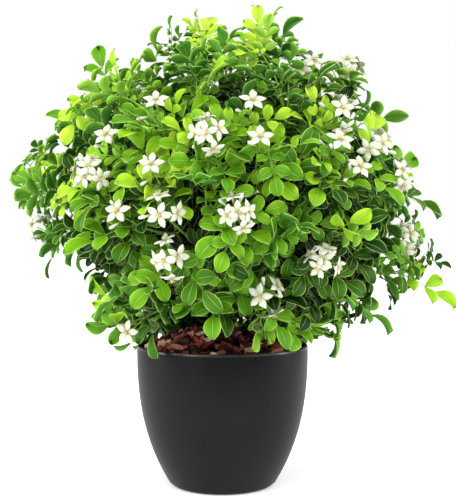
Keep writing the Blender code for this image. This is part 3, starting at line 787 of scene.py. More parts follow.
def fill_out(stems, space):
    """Side twigs with tufts of leaves on every stem, and more leaves on its own twigs."""
    draws = random.Random(FILL_SEED)
    side_twigs = [[] for _ in stems]
    for number, stem in enumerate(stems):
        for twig in stem.twigs:
            back = TUFT_BEHIND_FLOWERS if twig.flowers else TUFT_BEHIND_LEAVES
            side_twigs[number].append(SideTwig([], tuft(twig.path, back, INNER_TUFT, 1, draws, space)))
    found = holds(stems)
    depths = [draws.choice(FILL_DEPTHS) for _ in range(FILL_TWIGS)]
    places = [(Vector(shoot) * MM, OUTER_TUFT, SHOOT_LEAF) for shoot in SHOOTS]
    for index, depth in enumerate(depths):
        places.append((crown_place(index, depth), OUTER_TUFT if depth > OUTER_DEPTH else INNER_TUFT, 1))
    places += [(skirt_place(index), INNER_TUFT, 1) for index in range(SKIRT_TWIGS)]
    for place, steps, scale in places:
        path, number = side_path(place + stray(draws) * PLACE_STRAY * MM, found)
        leaves = tuft(path, 0, steps, scale, draws, space)
        if leaves:
            side_twigs[number].append(SideTwig(path, leaves))
            space.fill(spaced_points(path, SAMPLE))
    return side_twigs


# Materials


def linear(colour):
    """A hex sRGB colour as linear red, green and blue, and full alpha."""
    shares = [int(colour[i:i + 2], 16) / 255 for i in (1, 3, 5)]
    return (*(s / 12.92 if s <= 0.04045 else ((s + 0.055) / 1.055) ** 2.4 for s in shares), 1)


def add(tree, kind, values=None, links=None, stops=(), **settings):
    """A node of this kind, with its settings, its sockets' values and links, and its colour stops.

    A link comes from a socket, or from the first output of a node. A noise's Scale is in spots a metre.
    """
    made = tree.nodes.new("ShaderNode" + kind)
    for name, value in settings.items():
        setattr(made, name, value)
    for name, value in (values or {}).items():
        made.inputs[name].default_value = value
    for name, source in (links or {}).items():
        socket = source.outputs[0] if isinstance(source, bpy.types.Node) else source
        tree.links.new(socket, made.inputs[name])
    elements = made.color_ramp.elements if stops else ()
    while len(elements) < len(stops):
        elements.new(1)
    for element, (position, colour) in zip(elements, stops):
        element.position = position
        element.color = linear(colour)
    return made


def new_material(name, roughness, specular=0.5):
    """A material with its node tree and its shader."""
    made = bpy.data.materials.new(name)
    made.use_nodes = True
    shader = made.node_tree.nodes["Principled BSDF"]
    shader.inputs["Roughness"].default_value = roughness
    shader.inputs["Specular IOR Level"].default_value = specular
    return made, made.node_tree, shader


def cover(tree, shader, colour, height, strength, depth):
    """Gives a surface its colour, and a relief that follows this height pattern."""
    bump = add(tree, "Bump", {"Strength": strength, "Distance": depth}, {"Height": height})
    tree.links.new(colour, shader.inputs["Base Color"])
    tree.links.new(bump.outputs["Normal"], shader.inputs["Normal"])


def leaf_material(name, greens, rib, roughness, relief):
    """A living leaf: its green follows the tone, which is the leaf's age and partly painted shade within the
    crown, with a pale rib and edge and fine side veins.
    """
    made, tree, shader = new_material(name, roughness, 0.16)
    # The tone holds the leaf's age and the painted shade inside and under the crown
    age = add(tree, "Attribute", attribute_name="tone").outputs["Fac"]
    green = add(tree, "ValToRGB", links={"Fac": age}, stops=greens)
    place = add(tree, "TexCoord").outputs
    blotch = add(tree, "TexNoise", {"Scale": 90, "Detail": 3}, {"Vector": place["Object"]})
    shade = add(tree, "MapRange", {"To Min": 0.72, "To Max": 1.25}, {"Value": blotch})
    mottled = add(tree, "VectorMath", links={0: green, 1: shade}, operation="MULTIPLY")
    # The UV runs from the leaf's foot to its tip, and across it from 0 to 1 with the rib halfway
    ways = add(tree, "SeparateXYZ", links={"Vector": place["UV"]}).outputs
    beside = add(tree, "Math", {1: 0.5}, {0: ways["Y"]}, operation="SUBTRACT")
    off_rib = add(tree, "Math", links={0: beside}, operation="ABSOLUTE")
    rib_width = add(tree, "MapRange", {"To Min": 0.035, "To Max": 0.012}, {"Value": ways["X"]})
    rib_fade = {"From Min": 0.004, "To Min": 1, "To Max": 0}
    on_rib = add(tree, "MapRange", rib_fade, {"Value": off_rib, "From Max": rib_width})
    edge_fade = {"From Min": 0.43, "From Max": 0.49, "To Max": 1.3}
    on_edge = add(tree, "MapRange", edge_fade, {"Value": off_rib})
    pale = add(tree, "Math", links={0: on_rib, 1: on_edge}, operation="MAXIMUM")
    half_pale = add(tree, "Math", {1: 0.5}, {0: pale}, operation="MULTIPLY")
    fold_shade = {"From Min": 0.08, "From Max": 0.5, "To Min": 0.84, "To Max": 1.3}
    outward = add(tree, "MapRange", fold_shade, {"Value": off_rib})
    shaded = add(tree, "VectorMath", links={0: mottled, 1: outward}, operation="MULTIPLY")
    paled = add(tree, "Mix", {"B": linear(rib)}, {"Factor": half_pale, "A": shaded}, data_type="RGBA")
    # 62 radians along the leaf make ten pairs of side veins, which slant towards its tip
    slant = add(tree, "Math", {1: 0.8}, {0: off_rib}, operation="MULTIPLY")
    along = add(tree, "Math", links={0: ways["X"], 1: slant}, operation="SUBTRACT")
    phase = add(tree, "Math", {1: 62.0}, {0: along}, operation="MULTIPLY")
    veins = add(tree, "Math", links={0: phase}, operation="SINE")
    height = add(tree, "Math", {1: 0.25}, {0: veins, 2: on_rib}, operation="MULTIPLY_ADD")
    cover(tree, shader, paled.outputs["Result"], height, relief, 0.4 * MM)
    return made


def waxy_leaf():
    """The upper side of a leaflet: glossy and waxy, from deep green when old to yellow-green when young; the
    deep greens also show the painted shade inside and under the crown.
    """
    greens = ((0, "#031003"), (0.22, "#133c04"), (0.48, "#549208"), (0.75, "#8ec612"), (1, "#b6dc32"))
    return leaf_material("waxy_leaf", greens, "#cde87e", 0.38, 0.5)


def leaf_underside():
    """The underside of a leaflet: paler, greyer and matt."""
    greens = ((0, "#0b270b"), (0.5, "#478824"), (1, "#98ca40"))
    return leaf_material("leaf_underside", greens, "#bcd978", 0.55, 0.8)


def fibrous(name, stops, scale, roughness, relief):
    """Long fibres and blotches between these colours, this many a metre, with a rough surface."""
    made, tree, shader = new_material(name, roughness, 0.3)
    place = add(tree, "TexCoord").outputs["Object"]
    stretched = add(tree, "Mapping", {"Scale": (1, 1, 0.25)}, {"Vector": place})
    pattern = {"Scale": scale, "Detail": 6, "Roughness": 0.65}
    fibres = add(tree, "TexNoise", pattern, {"Vector": stretched})
    colour = add(tree, "ValToRGB", links={"Fac": fibres}, stops=stops)
    cover(tree, shader, colour.outputs["Color"], fibres, relief, 0.8 * MM)
    return made


def woody_bark():
    """The trunk's and branches' bark: grey-brown and matt, finely fissured along the wood."""
    return fibrous("woody_bark", ((0.25, "#2e2415"), (0.5, "#5d4c33"), (0.75, "#8a7858")), 160, 0.85, 0.9)


def potting_soil():
    """Peat-based potting soil: very dark brown crumbs, matt and damp."""
    return fibrous("potting_soil", ((0.3, "#140c07"), (0.7, "#3a281a")), 400, 0.95, 1.0)


def green_twig():
    """A young twig's skin: brownish green near the wood, and fresh green further out."""
    made, tree, shader = new_material("green_twig", 0.5)
    place = add(tree, "TexCoord").outputs["Object"]
    centred = add(tree, "VectorMath", {1: (0, 0, 0.24)}, {0: place}, operation="SUBTRACT")
    out = add(tree, "VectorMath", links={0: centred}, operation="LENGTH").outputs["Value"]
    age = add(tree, "MapRange", {"From Min": 0.03, "From Max": 0.17}, {"Value": out})
    greens = ((0, "#5b4a2c"), (0.45, "#5f7a2c"), (1, "#86b43a"))
    colour = add(tree, "ValToRGB", links={"Fac": age}, stops=greens)
    grain = add(tree, "TexNoise", {"Scale": 700, "Detail": 2}, {"Vector": place})
    cover(tree, shader, colour.outputs["Color"], grain, 0.3, 0.2 * MM)
    return made


def petal_skin():
    """A petal: cream white and velvety, with faint lines from its foot and a green-yellow throat."""
    made, tree, shader = new_material("petal_skin", 0.55, 0.3)
    shader.inputs["Sheen Weight"].default_value = 0.2
    place = add(tree, "TexCoord").outputs["UV"]
    ways = add(tree, "SeparateXYZ", links={"Vector": place}).outputs
    whites = ((0, "#aab46c"), (0.16, "#d2d3ae"), (0.42, "#e4e6cf"), (1, "#ecedde"))
    white = add(tree, "ValToRGB", links={"Fac": ways["X"]}, stops=whites)
    # 44 radians across the petal make seven lines
    phase = add(tree, "Math", {1: 44.0}, {0: ways["Y"]}, operation="MULTIPLY")
    lines = add(tree, "Math", links={0: phase}, operation="SINE")
    line_shade = {"From Min": -1, "From Max": 1, "To Min": 0.86, "To Max": 1}
    faint = add(tree, "MapRange", line_shade, {"Value": lines})
    lined = add(tree, "VectorMath", links={0: white, 1: faint}, operation="MULTIPLY")
    cover(tree, shader, lined.outputs[0], lines, 0.35, 0.3 * MM)
    return made


def two_stops(colours):
    """Colour stops for a pattern that runs between two colours."""
    return tuple(zip((0.3, 0.7), colours))


def mottled_skin(name, colours, roughness):
    """A small living piece, mottled between two colours in spots of about 1 mm."""
    made, tree, shader = new_material(name, roughness)
    place = add(tree, "TexCoord").outputs["Object"]
    speck = add(tree, "TexNoise", {"Scale": 900, "Detail": 2}, {"Vector": place})
    colour = add(tree, "ValToRGB", links={"Fac": speck}, stops=two_stops(colours))
    tree.links.new(colour.outputs["Color"], shader.inputs["Base Color"])
    return made


def pollen():
    """The anthers' and stigma's skin: pale yellow and dusty."""
    return mottled_skin("pollen", ("#e0c070", "#f4e6b0"), 0.7)


def calyx_green():
    """The calyces' and flower stalks' skin: light green and slightly glossy."""
    return mottled_skin("calyx_green", ("#6c9a34", "#9cc050"), 0.5)


def plastic(name, colours, scale, detail, gloss, roughness, specular):
    """Black polypropylene: clouds, this many a metre, between two colours and two roughnesses."""
    made, tree, shader = new_material(name, roughness, specular)
    place = add(tree, "TexCoord").outputs["Object"]
    cloud = add(tree, "TexNoise", {"Scale": scale, "Detail": detail}, {"Vector": place})
    colour = add(tree, "ValToRGB", links={"Fac": cloud}, stops=two_stops(colours))
    worn = add(tree, "MapRange", {"To Min": gloss[0], "To Max": gloss[1]}, {"Value": cloud})
    tree.links.new(worn.outputs[0], shader.inputs["Roughness"])
    tree.links.new(colour.outputs["Color"], shader.inputs["Base Color"])
    return made, tree, shader, place, colour


def moulded_plastic():
    """The planter's wall: matt black with a fine grain, and a painted shadow of the crown that darkens it
    towards the rim.
    """
    blacks = ("#0f0f10", "#151516")
    made, tree, shader, place, black = plastic("moulded_plastic", blacks, 18, 3, (0.36, 0.48), 0.42, 0.13)
    # Painted shadow of the crown: the black darkens from 112 mm up, to 0.15 of itself at 162 mm just under
    # the lip
    height = add(tree, "SeparateXYZ", links={"Vector": place}).outputs["Z"]
    crown_shadow_fade = {"From Min": 162 * MM, "From Max": 112 * MM, "To Min": 0.15}
    painted_shadow = add(tree, "MapRange", crown_shadow_fade, {"Value": height})
    shadowed_black = add(tree, "VectorMath", links={0: black, 1: painted_shadow}, operation="MULTIPLY")
    # The real grain of about 0.1 mm is too fine to show, so it is drawn more than four times as coarse
    grain = add(tree, "TexNoise", {"Scale": 2200, "Detail": 1}, {"Vector": place})
    cover(tree, shader, shadowed_black.outputs[0], grain, 0.12, 0.1 * MM)
    return made


def polished_lip():
    """The planter's lip: polished in the mould, so that it catches a thin line of light, and painted a
    little lighter than the wall as a painted highlight.
    """
    # These blacks are a little lighter than the wall's: a painted highlight along the lip
    blacks = ("#161617", "#222223")
    made, *_ = plastic("polished_lip", blacks, 60, 4, (0.2, 0.34), 0.25, 0.6)
    return made


def pine_bark():
    """Pine bark chips: red-brown, from dark and damp to pale pinkish where freshly broken."""
    made, tree, shader = new_material("pine_bark", 0.7, 0.4)
    place = add(tree, "TexCoord").outputs["Object"]
    pattern = {"Scale": 260, "Detail": 6, "Roughness": 0.7}
    fibres = add(tree, "TexNoise", pattern, {"Vector": place})
    tone = add(tree, "Attribute", attribute_name="tone").outputs["Fac"]
    mixed = add(tree, "Math", {1: 0.45}, {0: fibres, 2: tone}, operation="MULTIPLY_ADD")
    top = 1.4
    spread = add(tree, "MapRange", {"From Max": top}, {"Value": mixed})
    reds = ((0.28, "#0e0302"), (0.5, "#470f08"), (0.76, "#9a3a28"), (1.0, "#de9080"), (1.2, "#fbdcd0"))
    stops = [(position / top, red) for position, red in reds]
    colour = add(tree, "ValToRGB", links={"Fac": spread}, stops=stops)
    cover(tree, shader, colour.outputs["Color"], fibres, 0.8, 1 * MM)
    return made


def pale_floor():
    """The studio floor: matt white paper. A faint glow of its own keeps the shadows on it pale."""
    made, _, shader = new_material("pale_floor", 0.6, 0.1)
    shader.inputs["Base Color"].default_value = linear("#f4f4f5")
    shader.inputs["Emission Color"].default_value = linear("#ffffff")
    shader.inputs["Emission Strength"].default_value = 0.35
    return made


# Meshes


def object_of(name, data):
    obj = bpy.data.objects.new(name, data)
    bpy.context.scene.collection.objects.link(obj)
    return obj


def mesh_of(name, bm):
    mesh = bpy.data.meshes.new(name)
    bm.to_mesh(mesh)
    bm.free()
    return mesh


def dressed(name, mesh, looks, node):
    """Makes a piece of a mesh and its materials, and puts it in the place of its solid."""
    obj = object_of(name, mesh)
    for look in looks:
        obj.data.materials.append(look)
    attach(obj, "root")
    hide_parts(node)


def join(bm, mesh, slot=None):
    """Adds a mesh to the bmesh, all of it in this material slot where one is given."""
    if slot is not None:
        mesh.polygons.foreach_set("material_index", [slot] * len(mesh.polygons))
    bm.from_mesh(mesh)
    bpy.data.meshes.remove(mesh)


def stamp(bm, kind, place, tone=0.0):
    """Adds a copy of a mesh to the bmesh, at this place and with this tone."""
    mesh = kind.copy()
    mesh.transform(place)
    if "tone" in mesh.attributes:
        mesh.attributes["tone"].data.foreach_set("value", [tone] * len(mesh.vertices))
    join(bm, mesh)


def rods(runs, resolution):
    """Smooth round rods along runs of points, each run with a radius for each of its points.

    The resolution is 0 for the thinnest rods, which have four sides, and higher for thicker ones.
    """
    curve = bpy.data.curves.new("rods", "CURVE")
    curve.dimensions = "3D"
    curve.bevel_depth = 1.0
    curve.bevel_resolution = resolution
    curve.use_fill_caps = True
    for path, radii in runs:
        spline = curve.splines.new("POLY")
        spline.points.add(len(path) - 1)
        for point, place, radius in zip(spline.points, path, radii):
            point.co = (*place, 1)
            point.radius = radius
    obj = object_of("rods", curve)
    bpy.context.view_layer.update()
    mesh = bpy.data.meshes.new_from_object(obj.evaluated_get(bpy.context.evaluated_depsgraph_get()))
    bpy.data.objects.remove(obj)
    bm = bmesh.new()
    join(bm, mesh)
    bmesh.ops.remove_doubles(bm, verts=bm.verts, dist=WELD)
    mesh = mesh_of("rods", bm)
    mesh.shade_smooth()
    return mesh


def upright(shape):
    """A rod up Z, as points and radii, from its heights and radii in mm."""
    return [Vector((0, 0, height * MM)) for height, _ in shape], [radius * MM for _, radius in shape]


def smoothed(path, steps):
    """The path as a smooth curve through its points, with this many steps between them."""
    ends = [path[0] * 2 - path[1], *path, path[-1] * 2 - path[-2]]
    points = []
    for a, b, c, d in zip(ends, ends[1:], ends[2:], ends[3:]):
        for t in (step / steps for step in range(steps)):
            bend = (2 * a - 5 * b + 4 * c - d) * t * t + (3 * b - a - 3 * c + d) * t ** 3
            points.append(0.5 * (2 * b + (c - a) * t + bend))
    return points + [path[-1]]


def smoothed_radii(radii, steps):
    """The radii as a smooth row, with this many steps between them."""
    return [point.x for point in smoothed([Vector((radius, 0, 0)) for radius in radii], steps)]


def tapered(count, first, last):
    return [first + (last - first) * i / (count - 1) for i in range(count)]


def twig_run(path, smoothing, first, last):
    """A twig as a rod's points and radii: smooth, and thinner towards its tip."""
    points = smoothed(path, smoothing)
    return points, tapered(len(points), first, last)


def rib_run(leaf):
    """A leaf's stalk and rib, as a rod's points and radii."""
    end = leaf.leaflets[-1].root
    points = [leaf.frame @ arched(end * i / (RIB_POINTS - 1), 0) for i in range(RIB_POINTS)]
    return points, tapered(RIB_POINTS, *RIB_TAPER)


def turned(profile, steps):
    """A profile of radii and heights turned round Z. It runs down its outer side."""
    bm = bmesh.new()
    corners = [bm.verts.new((radius, 0, z)) for radius, z in profile]
    edges = [bm.edges.new(pair) for pair in zip(corners, corners[1:] + corners[:1])]
    whole = {"cent": (0, 0, 0), "axis": (0, 0, 1), "angle": 2 * math.pi, "steps": steps, "use_merge": True}
    bmesh.ops.spin(bm, geom=corners + edges, **whole)
    bmesh.ops.remove_doubles(bm, verts=bm.verts, dist=WELD)
    bmesh.ops.recalc_face_normals(bm, faces=bm.faces)
    return bm


def blade_grid(rows, columns):
    """A flat sheet with a UV map, 1 long and 1 wide, for a leaflet or a petal."""
    bm = bmesh.new()
    bm.loops.layers.uv.new("UVMap")
    bmesh.ops.create_grid(bm, x_segments=rows, y_segments=columns, size=0.5, calc_uvs=True)
    return bm


def closed_blade(bm, thickness, under_slot):
    """Closes a sheet into a thin blade whose underside takes the material in this slot."""
    sheet = list(bm.faces)
    moved = bmesh.ops.extrude_face_region(bm, geom=sheet)["geom"]
    verts = [item for item in moved if isinstance(item, bmesh.types.BMVert)]
    bmesh.ops.translate(bm, verts=verts, vec=(0, 0, thickness))
    for face in sheet:
        face.material_index = under_slot
    bmesh.ops.recalc_face_normals(bm, faces=bm.faces)
    bm.verts.layers.float.new("tone")
    for face in bm.faces:
        face.smooth = True


# Leaves and twigs


def leaflet_half_width(along):
    """A leaflet's half width at a share of its length: a wedge at its foot and a blunt round tip."""
    return math.sin(math.pi * along ** 1.3) ** 0.62 if 0 < along < 1 else 0


def leaflet_kind(number):
    """A leaflet 1 long with a half width of 1: folded a little at its rib, arched and gently waved."""
    draws = random.Random(number)
    fold, arch, wave = draws.uniform(0.05, 0.22), draws.uniform(0.04, 0.13), draws.uniform(0.01, 0.03)
    tip, phase, bow = draws.uniform(0.02, 0.14), draws.uniform(0, 6), draws.uniform(-0.05, 0.05)
    rows = len(LEAFLET_ROWS) - 1
    bm = blade_grid(rows, 2)
    for vert in bm.verts:
        along, across = LEAFLET_ROWS[round((vert.co.x + 0.5) * rows)], 2 * vert.co.y
        side = abs(across)
        hump = math.sin(math.pi * along)
        height = fold * side * (0.3 + along) + arch * hump
        ripple = wave * side ** 2 * math.sin(LEAFLET_WAVES * along + phase + across)
        height += ripple - tip * max(0, along - LEAFLET_TIP) ** 2 * 6
        half_width = leaflet_half_width(along)
        vert.co = (along, across * half_width + bow * hump, height * min(1, 4 * along))
    bmesh.ops.remove_doubles(bm, verts=bm.verts, dist=1e-4)
    closed_blade(bm, LEAFLET_THICKNESS, 1)
    return mesh_of(f"leaflet_kind_{number}", bm)


def leaflet_place(leaf, leaflet, draws):
    """Where a leaflet's blade goes: along its leaflet in the solids, rolled a little at random."""
    foot = arched(*on_leaflet(leaflet, 0, 0))
    along = arched(*on_leaflet(leaflet, 1, 0)) - foot
    across = arched(*on_leaflet(leaflet, 0.6, 0.6)) - arched(*on_leaflet(leaflet, 0.6, -0.6))
    roll = draws.uniform(-LEAFLET_ROLL, LEAFLET_ROLL)
    face = Quaternion(along.normalized(), roll) @ along.cross(across)
    width = leaflet.half_width * LEAFLET_FULLNESS * draws.uniform(*LEAFLET_WIDTHS)
    scale = Matrix.Diagonal((leaflet.length, width, leaflet.length, 1))
    return leaf.frame @ frame_at(foot, along, face) @ scale


def leaf_tone(leaf, vigour):
    """A leaf's tone: brighter and younger towards the outside of the crown, and brighter at its top. The
    lower tone deep inside is partly painted shade, and the drop low under the crown's middle is painted
    shade.
    """
    place = leaf.frame.translation - CROWN_CENTRE
    reach = CROWN_REACH[0 if place.z > 0 else 1]
    depth = math.sqrt(sum((a / b) ** 2 for a, b in zip(place, reach)))
    # Painted shade: the tone drops for leaves low under the middle of the crown, where its foliage shades
    # them
    low = max(0, UNDER_SHADE_TOP - leaf.frame.translation.z) / UNDER_SHADE_RUN
    under = low * max(0, 1 - math.hypot(place.x, place.y) / UNDER_SHADE_RADIUS)
    outer = min(1, max(0, (depth - BRIGHT_DEPTH) / BRIGHT_RUN - under))
    lively = vigour * (INNER_VIGOUR + (1 - INNER_VIGOUR) * outer)
    return OUTER_TONE * outer + HEIGHT_TONE * place.z / HEIGHT_TONE_RUN + lively


def build_sprig(number, stem, side_twigs, kinds, looks):
    """A leafy stem: its twigs, side twigs and ribs as rods, and a blade for every leaflet."""
    draws = random.Random(number)
    foot = stem.seat + stem.heading * SEAT_GAP
    first, *others = stem.twigs
    points, radii = twig_run(first.path, TWIG_SMOOTHING, TWIG_RADIUS, TWIG_TIP_RADIUS)
    runs = [([foot, *points], [BRANCH_RADIUS, *radii])]
    runs += [twig_run(twig.path, TWIG_SMOOTHING, FORKED_TWIG_RADIUS, TWIG_TIP_RADIUS) for twig in others]
    runs += [twig_run(twig.path, FILL_SMOOTHING, *FILL_TWIG_RADII) for twig in side_twigs if twig.path]
    groups = [stem.leaves, *[twig.leaves for twig in side_twigs]]
    bm = bmesh.new()
    join(bm, rods(runs, resolution=1), 2)
    join(bm, rods([rib_run(leaf) for group in groups for leaf in group], resolution=0), 2)
    for group in groups:
        vigour = draws.uniform(*TUFT_VIGOUR)
        for leaf in group:
            tone = leaf_tone(leaf, vigour + draws.uniform(-LEAF_TONE_STRAY, LEAF_TONE_STRAY))
            for leaflet in leaf.leaflets:
                own = min(1, max(0, tone + draws.uniform(-LEAFLET_TONE_STRAY, LEAFLET_TONE_STRAY)))
                stamp(bm, draws.choice(kinds), leaflet_place(leaf, leaflet, draws), own)
    mesh = mesh_of("sprig", bm)
    dressed(f"leafy_sprig_{number:02d}", mesh, looks, f"leafy_stem_{number:02d}")


# Flowers


def petal_mesh(openness, draws):
    """One closed petal along X: oval, cupped across, and curled back towards its tip."""
    curl = openness * draws.uniform(0.6, 1.4)
    rise, cup, wave = draws.uniform(0.9, 1.9), draws.uniform(0.3, 0.9), draws.uniform(-0.6, 0.6)
    rows = len(PETAL_ROWS) - 1
    bm = blade_grid(rows, 3)
    for vert in bm.verts:
        along, across = PETAL_ROWS[round((vert.co.x + 0.5) * rows)], 2 * vert.co.y
        half_width = PETAL_HALF_WIDTH * (0.22 * (1 - along) + math.sin(math.pi * along ** 0.95) ** 0.9)
        reach = PETAL_FOOT + along * (PETAL_REACH - PETAL_FOOT)
        share = reach / PETAL_REACH
        height = CUP_DEPTH * (0.2 + rise * share) - PETAL_CURL * curl * share ** 3 - cup * across ** 2 * MM
        height += wave * MM * math.sin(5 * along) * across
        vert.co = (reach, across * half_width, height)
    bmesh.ops.remove_doubles(bm, verts=bm.verts, dist=WELD)
    closed_blade(bm, PETAL_THICKNESS, 0)
    return mesh_of("petal", bm)


def flower_kind(number):
    """An open flower that faces +Z: five petals, ten stamens, a style, a short tube and a calyx."""
    draws = random.Random(number)
    bm = bmesh.new()
    openness = draws.uniform(*FLOWER_OPENNESS)
    for index in range(PETALS):
        turn = 2 * math.pi * index / PETALS + draws.uniform(-PETAL_STRAY, PETAL_STRAY)
        petal = petal_mesh(openness, draws)
        petal.transform(Matrix.Rotation(turn, 4, "Z"))
        join(bm, petal)
    filaments, heads = [], []
    for index in range(STAMENS):
        angle = 2 * math.pi * (index + 0.5) / STAMENS
        out, up = STAMEN_TIPS[index % 2]
        tip = Vector((out * math.cos(angle), out * math.sin(angle), up)) * MM
        foot = Vector((STAMEN_FOOT_SHARE * tip.x, STAMEN_FOOT_SHARE * tip.y, STAMEN_FOOT))
        filaments.append(([foot, tip * STAMEN_BEND_SHARE, tip], STAMEN_RADII))
        heads.append(tip)
    filaments.append(upright(STYLE))
    heads.append(Vector((0, 0, STIGMA_HEIGHT)))
    join(bm, rods([upright(FLOWER_TUBE)], resolution=1), 0)
    join(bm, rods(filaments, resolution=0), 0)
    join(bm, rods([upright(CALYX)], resolution=1), 2)
    for tip in heads:
        place = Matrix.Translation(tip)
        added = bmesh.ops.create_icosphere(bm, subdivisions=1, radius=ANTHER_RADIUS, matrix=place)
        for face in {face for vert in added["verts"] for face in vert.link_faces}:
            face.material_index = 1
            face.smooth = True
    return mesh_of(f"flower_kind_{number}", bm)


def bud_kind(number):
    """A closed bud that points to +Z: a white spindle on a green calyx."""
    length = BUD_LENGTHS[number]
    bm = bmesh.new()
    join(bm, rods([upright([(share * length, radius) for share, radius in BUD_SHAPE])], resolution=2))
    join(bm, rods([upright(BUD_CUP)], resolution=1), 2)
    return mesh_of(f"bud_kind_{number}", bm)


def build_spray(number, spray, flower_kinds, bud_kinds, looks):
    """A flower cluster: open flowers and buds, all on stalks from one fork."""
    draws = random.Random(number)
    fork = spray.cluster.fork
    sizes = FLOWER_SIZES[spray.grown]
    runs = [([spray.cluster.root, fork], [STALK_RADIUS, 0.9 * STALK_RADIUS])]
    bm = bmesh.new()
    for flower in spray.cluster.flowers:
        side = Quaternion(flower.facing, flower.turn) @ flower.facing.orthogonal()
        place = frame_at(flower.centre, side, flower.facing)
        stamp(bm, draws.choice(flower_kinds), place @ Matrix.Scale(draws.uniform(*sizes), 4))
        foot = flower.centre - flower.facing * FLOWER_DEPTH
        stalk = bent_path(fork, fork.lerp(foot, 0.5), foot, SIDE_STALK_STEPS)
        runs.append((stalk, [SIDE_STALK_RADIUS] * len(stalk)))
    for foot, facing in spray.buds:
        stamp(bm, draws.choice(bud_kinds), frame_at(foot, facing.orthogonal(), facing))
        runs.append(([fork, foot], [SIDE_STALK_RADIUS] * 2))
    join(bm, rods(runs, resolution=1), 2)
    mesh = mesh_of("spray", bm)
    dressed(f"flower_spray_{number:02d}", mesh, looks, f"flower_cluster_{number:02d}")


# Planter, bark chips and wood


def pot_radius(height, inset=0.0):
    """The planter's outside radius at a height, less an inset."""
    share = 1 - (1 - height / POT_HEIGHT) ** POT_BELLY
    return POT_SHOULDER_RADIUS + (POT_RIM_RADIUS - POT_SHOULDER_RADIUS) * share - inset


def rounded_foot(radius):
    """The profile of the planter's foot, from this radius of the wall down to the flat base's centre."""
    corner = Vector((radius - FOOT_ROUNDING, FOOT_ROUNDING))
    rows = []
    for i in range(1, FOOT_ROWS + 1):
        angle = math.radians(12 - 102 * i / FOOT_ROWS)
        out = corner.x + FOOT_ROUNDING * math.cos(angle) - FOOT_INSET
        rows.append((out, max(0, corner.y + FOOT_ROUNDING * math.sin(angle))))
    return rows + [(POT_FLAT_RADIUS, 0), (0, 0)]


def rolled_lip():
    """The profile of the planter's lip, over the wall's top from its inner side to its outer one."""
    rows = []
    for i in range(LIP_ROWS + 1):
        angle = math.pi * (1 - i / LIP_ROWS)
        out, up = POT_WALL / 2 * math.cos(angle), POT_LIP * math.sin(angle)
        rows.append((POT_RIM_RADIUS - POT_WALL / 2 + out, POT_HEIGHT - POT_LIP + up))
    return rows


def build_planter(looks):
    """A thin moulded wall with a rolled lip, a rounded foot and a flat base."""
    shares = [(i / WALL_ROWS) ** 0.9 for i in range(WALL_ROWS + 1)]
    levels = [WALL_TOP - (WALL_TOP - WALL_FOOT) * share for share in shares]
    outside = [(pot_radius(POT_HEIGHT * level), POT_HEIGHT * level) for level in levels]
    inside = [(pot_radius(POT_HEIGHT * level, POT_WALL), POT_HEIGHT * level) for level in INNER_LEVELS]
    floor = [(0, POT_FLOOR), (POT_SHOULDER_RADIUS - FLOOR_INSET, POT_FLOOR)]
    profile = floor + inside + rolled_lip() + outside + rounded_foot(outside[-1][0])
    mesh = mesh_of("planter", turned(profile, POT_STEPS))
    mesh.shade_smooth()
    mesh.set_sharp_from_angle(angle=SHARP_ANGLE)
    for face in mesh.polygons:
        if face.center.z > POT_HEIGHT - POT_LIP:
            face.material_index = 1
    dressed("planter_shell", mesh, looks, "planter")


def mulch_height(radius):
    """The mound's surface: just under the rim at its edge, rising towards the trunk."""
    share = radius / MULCH_RADIUS
    return SOIL_TOP + MULCH_EDGE + (MULCH_CROWN - MULCH_EDGE) * (1 - share * share)


def chip_kind(number):
    """A bark chip 1 long, 1 wide and 1 thick: an uneven, split and worn block."""
    draws = random.Random(number)
    bm = bmesh.new()
    bmesh.ops.create_cube(bm, size=1)
    bmesh.ops.subdivide_edges(bm, edges=bm.edges, cuts=2, use_grid_fill=True)
    skew, taper = draws.uniform(-0.35, 0.35), draws.uniform(0.1, 0.5)
    for vert in bm.verts:
        spot = vert.co.copy()
        spot.y *= 1 - taper * (spot.x + 0.5)
        spot.x += skew * spot.y
        ragged = noise.noise_vector(vert.co * 1.6 + Vector((7 * number, 0, 0))) * CHIP_RAGGEDNESS
        vert.co = spot * (1.08 - 0.22 * vert.co.length) + ragged
    bmesh.ops.recalc_face_normals(bm, faces=bm.faces)
    bm.verts.layers.float.new("tone")
    return mesh_of(f"chip_kind_{number}", bm)


def chip_place(number, draws):
    """Where a chip lies: any way round in the middle, and more along the rim and flatter near it."""
    share = (number + 0.5) / BARK_CHIPS
    radius = CHIPS_START + CHIPS_RUN * math.sqrt(share)
    angle = GOLDEN_ANGLE * number + draws.uniform(-0.1, 0.1)
    length = draws.uniform(*CHIP_LENGTHS) * MM
    size = (length, length * draws.uniform(*CHIP_WIDTHS), draws.uniform(*CHIP_THICKNESSES) * MM, 1)
    lift = (draws.uniform(*CHIP_LIFTS) + MIDDLE_LIFT * (1 - share)) * MM
    place = Vector((radius * math.cos(angle), radius * math.sin(angle), mulch_height(radius) + lift))
    near_rim = max(0, (radius - NEAR_RIM_START) / NEAR_RIM_RUN)
    yaw = angle + math.pi / 2 + draws.uniform(-CHIP_YAW, CHIP_YAW) * (1 - RIM_YAW_LOSS * near_rim)
    pitch = draws.uniform(-CHIP_PITCH, CHIP_PITCH) * (1 - RIM_PITCH_LOSS * near_rim)
    roll = Matrix.Rotation(draws.uniform(-CHIP_ROLL, CHIP_ROLL), 4, "X")
    turn = Matrix.Rotation(yaw, 4, "Z") @ Matrix.Rotation(pitch, 4, "Y")
    return Matrix.Translation(place) @ turn @ roll @ Matrix.Diagonal(size)


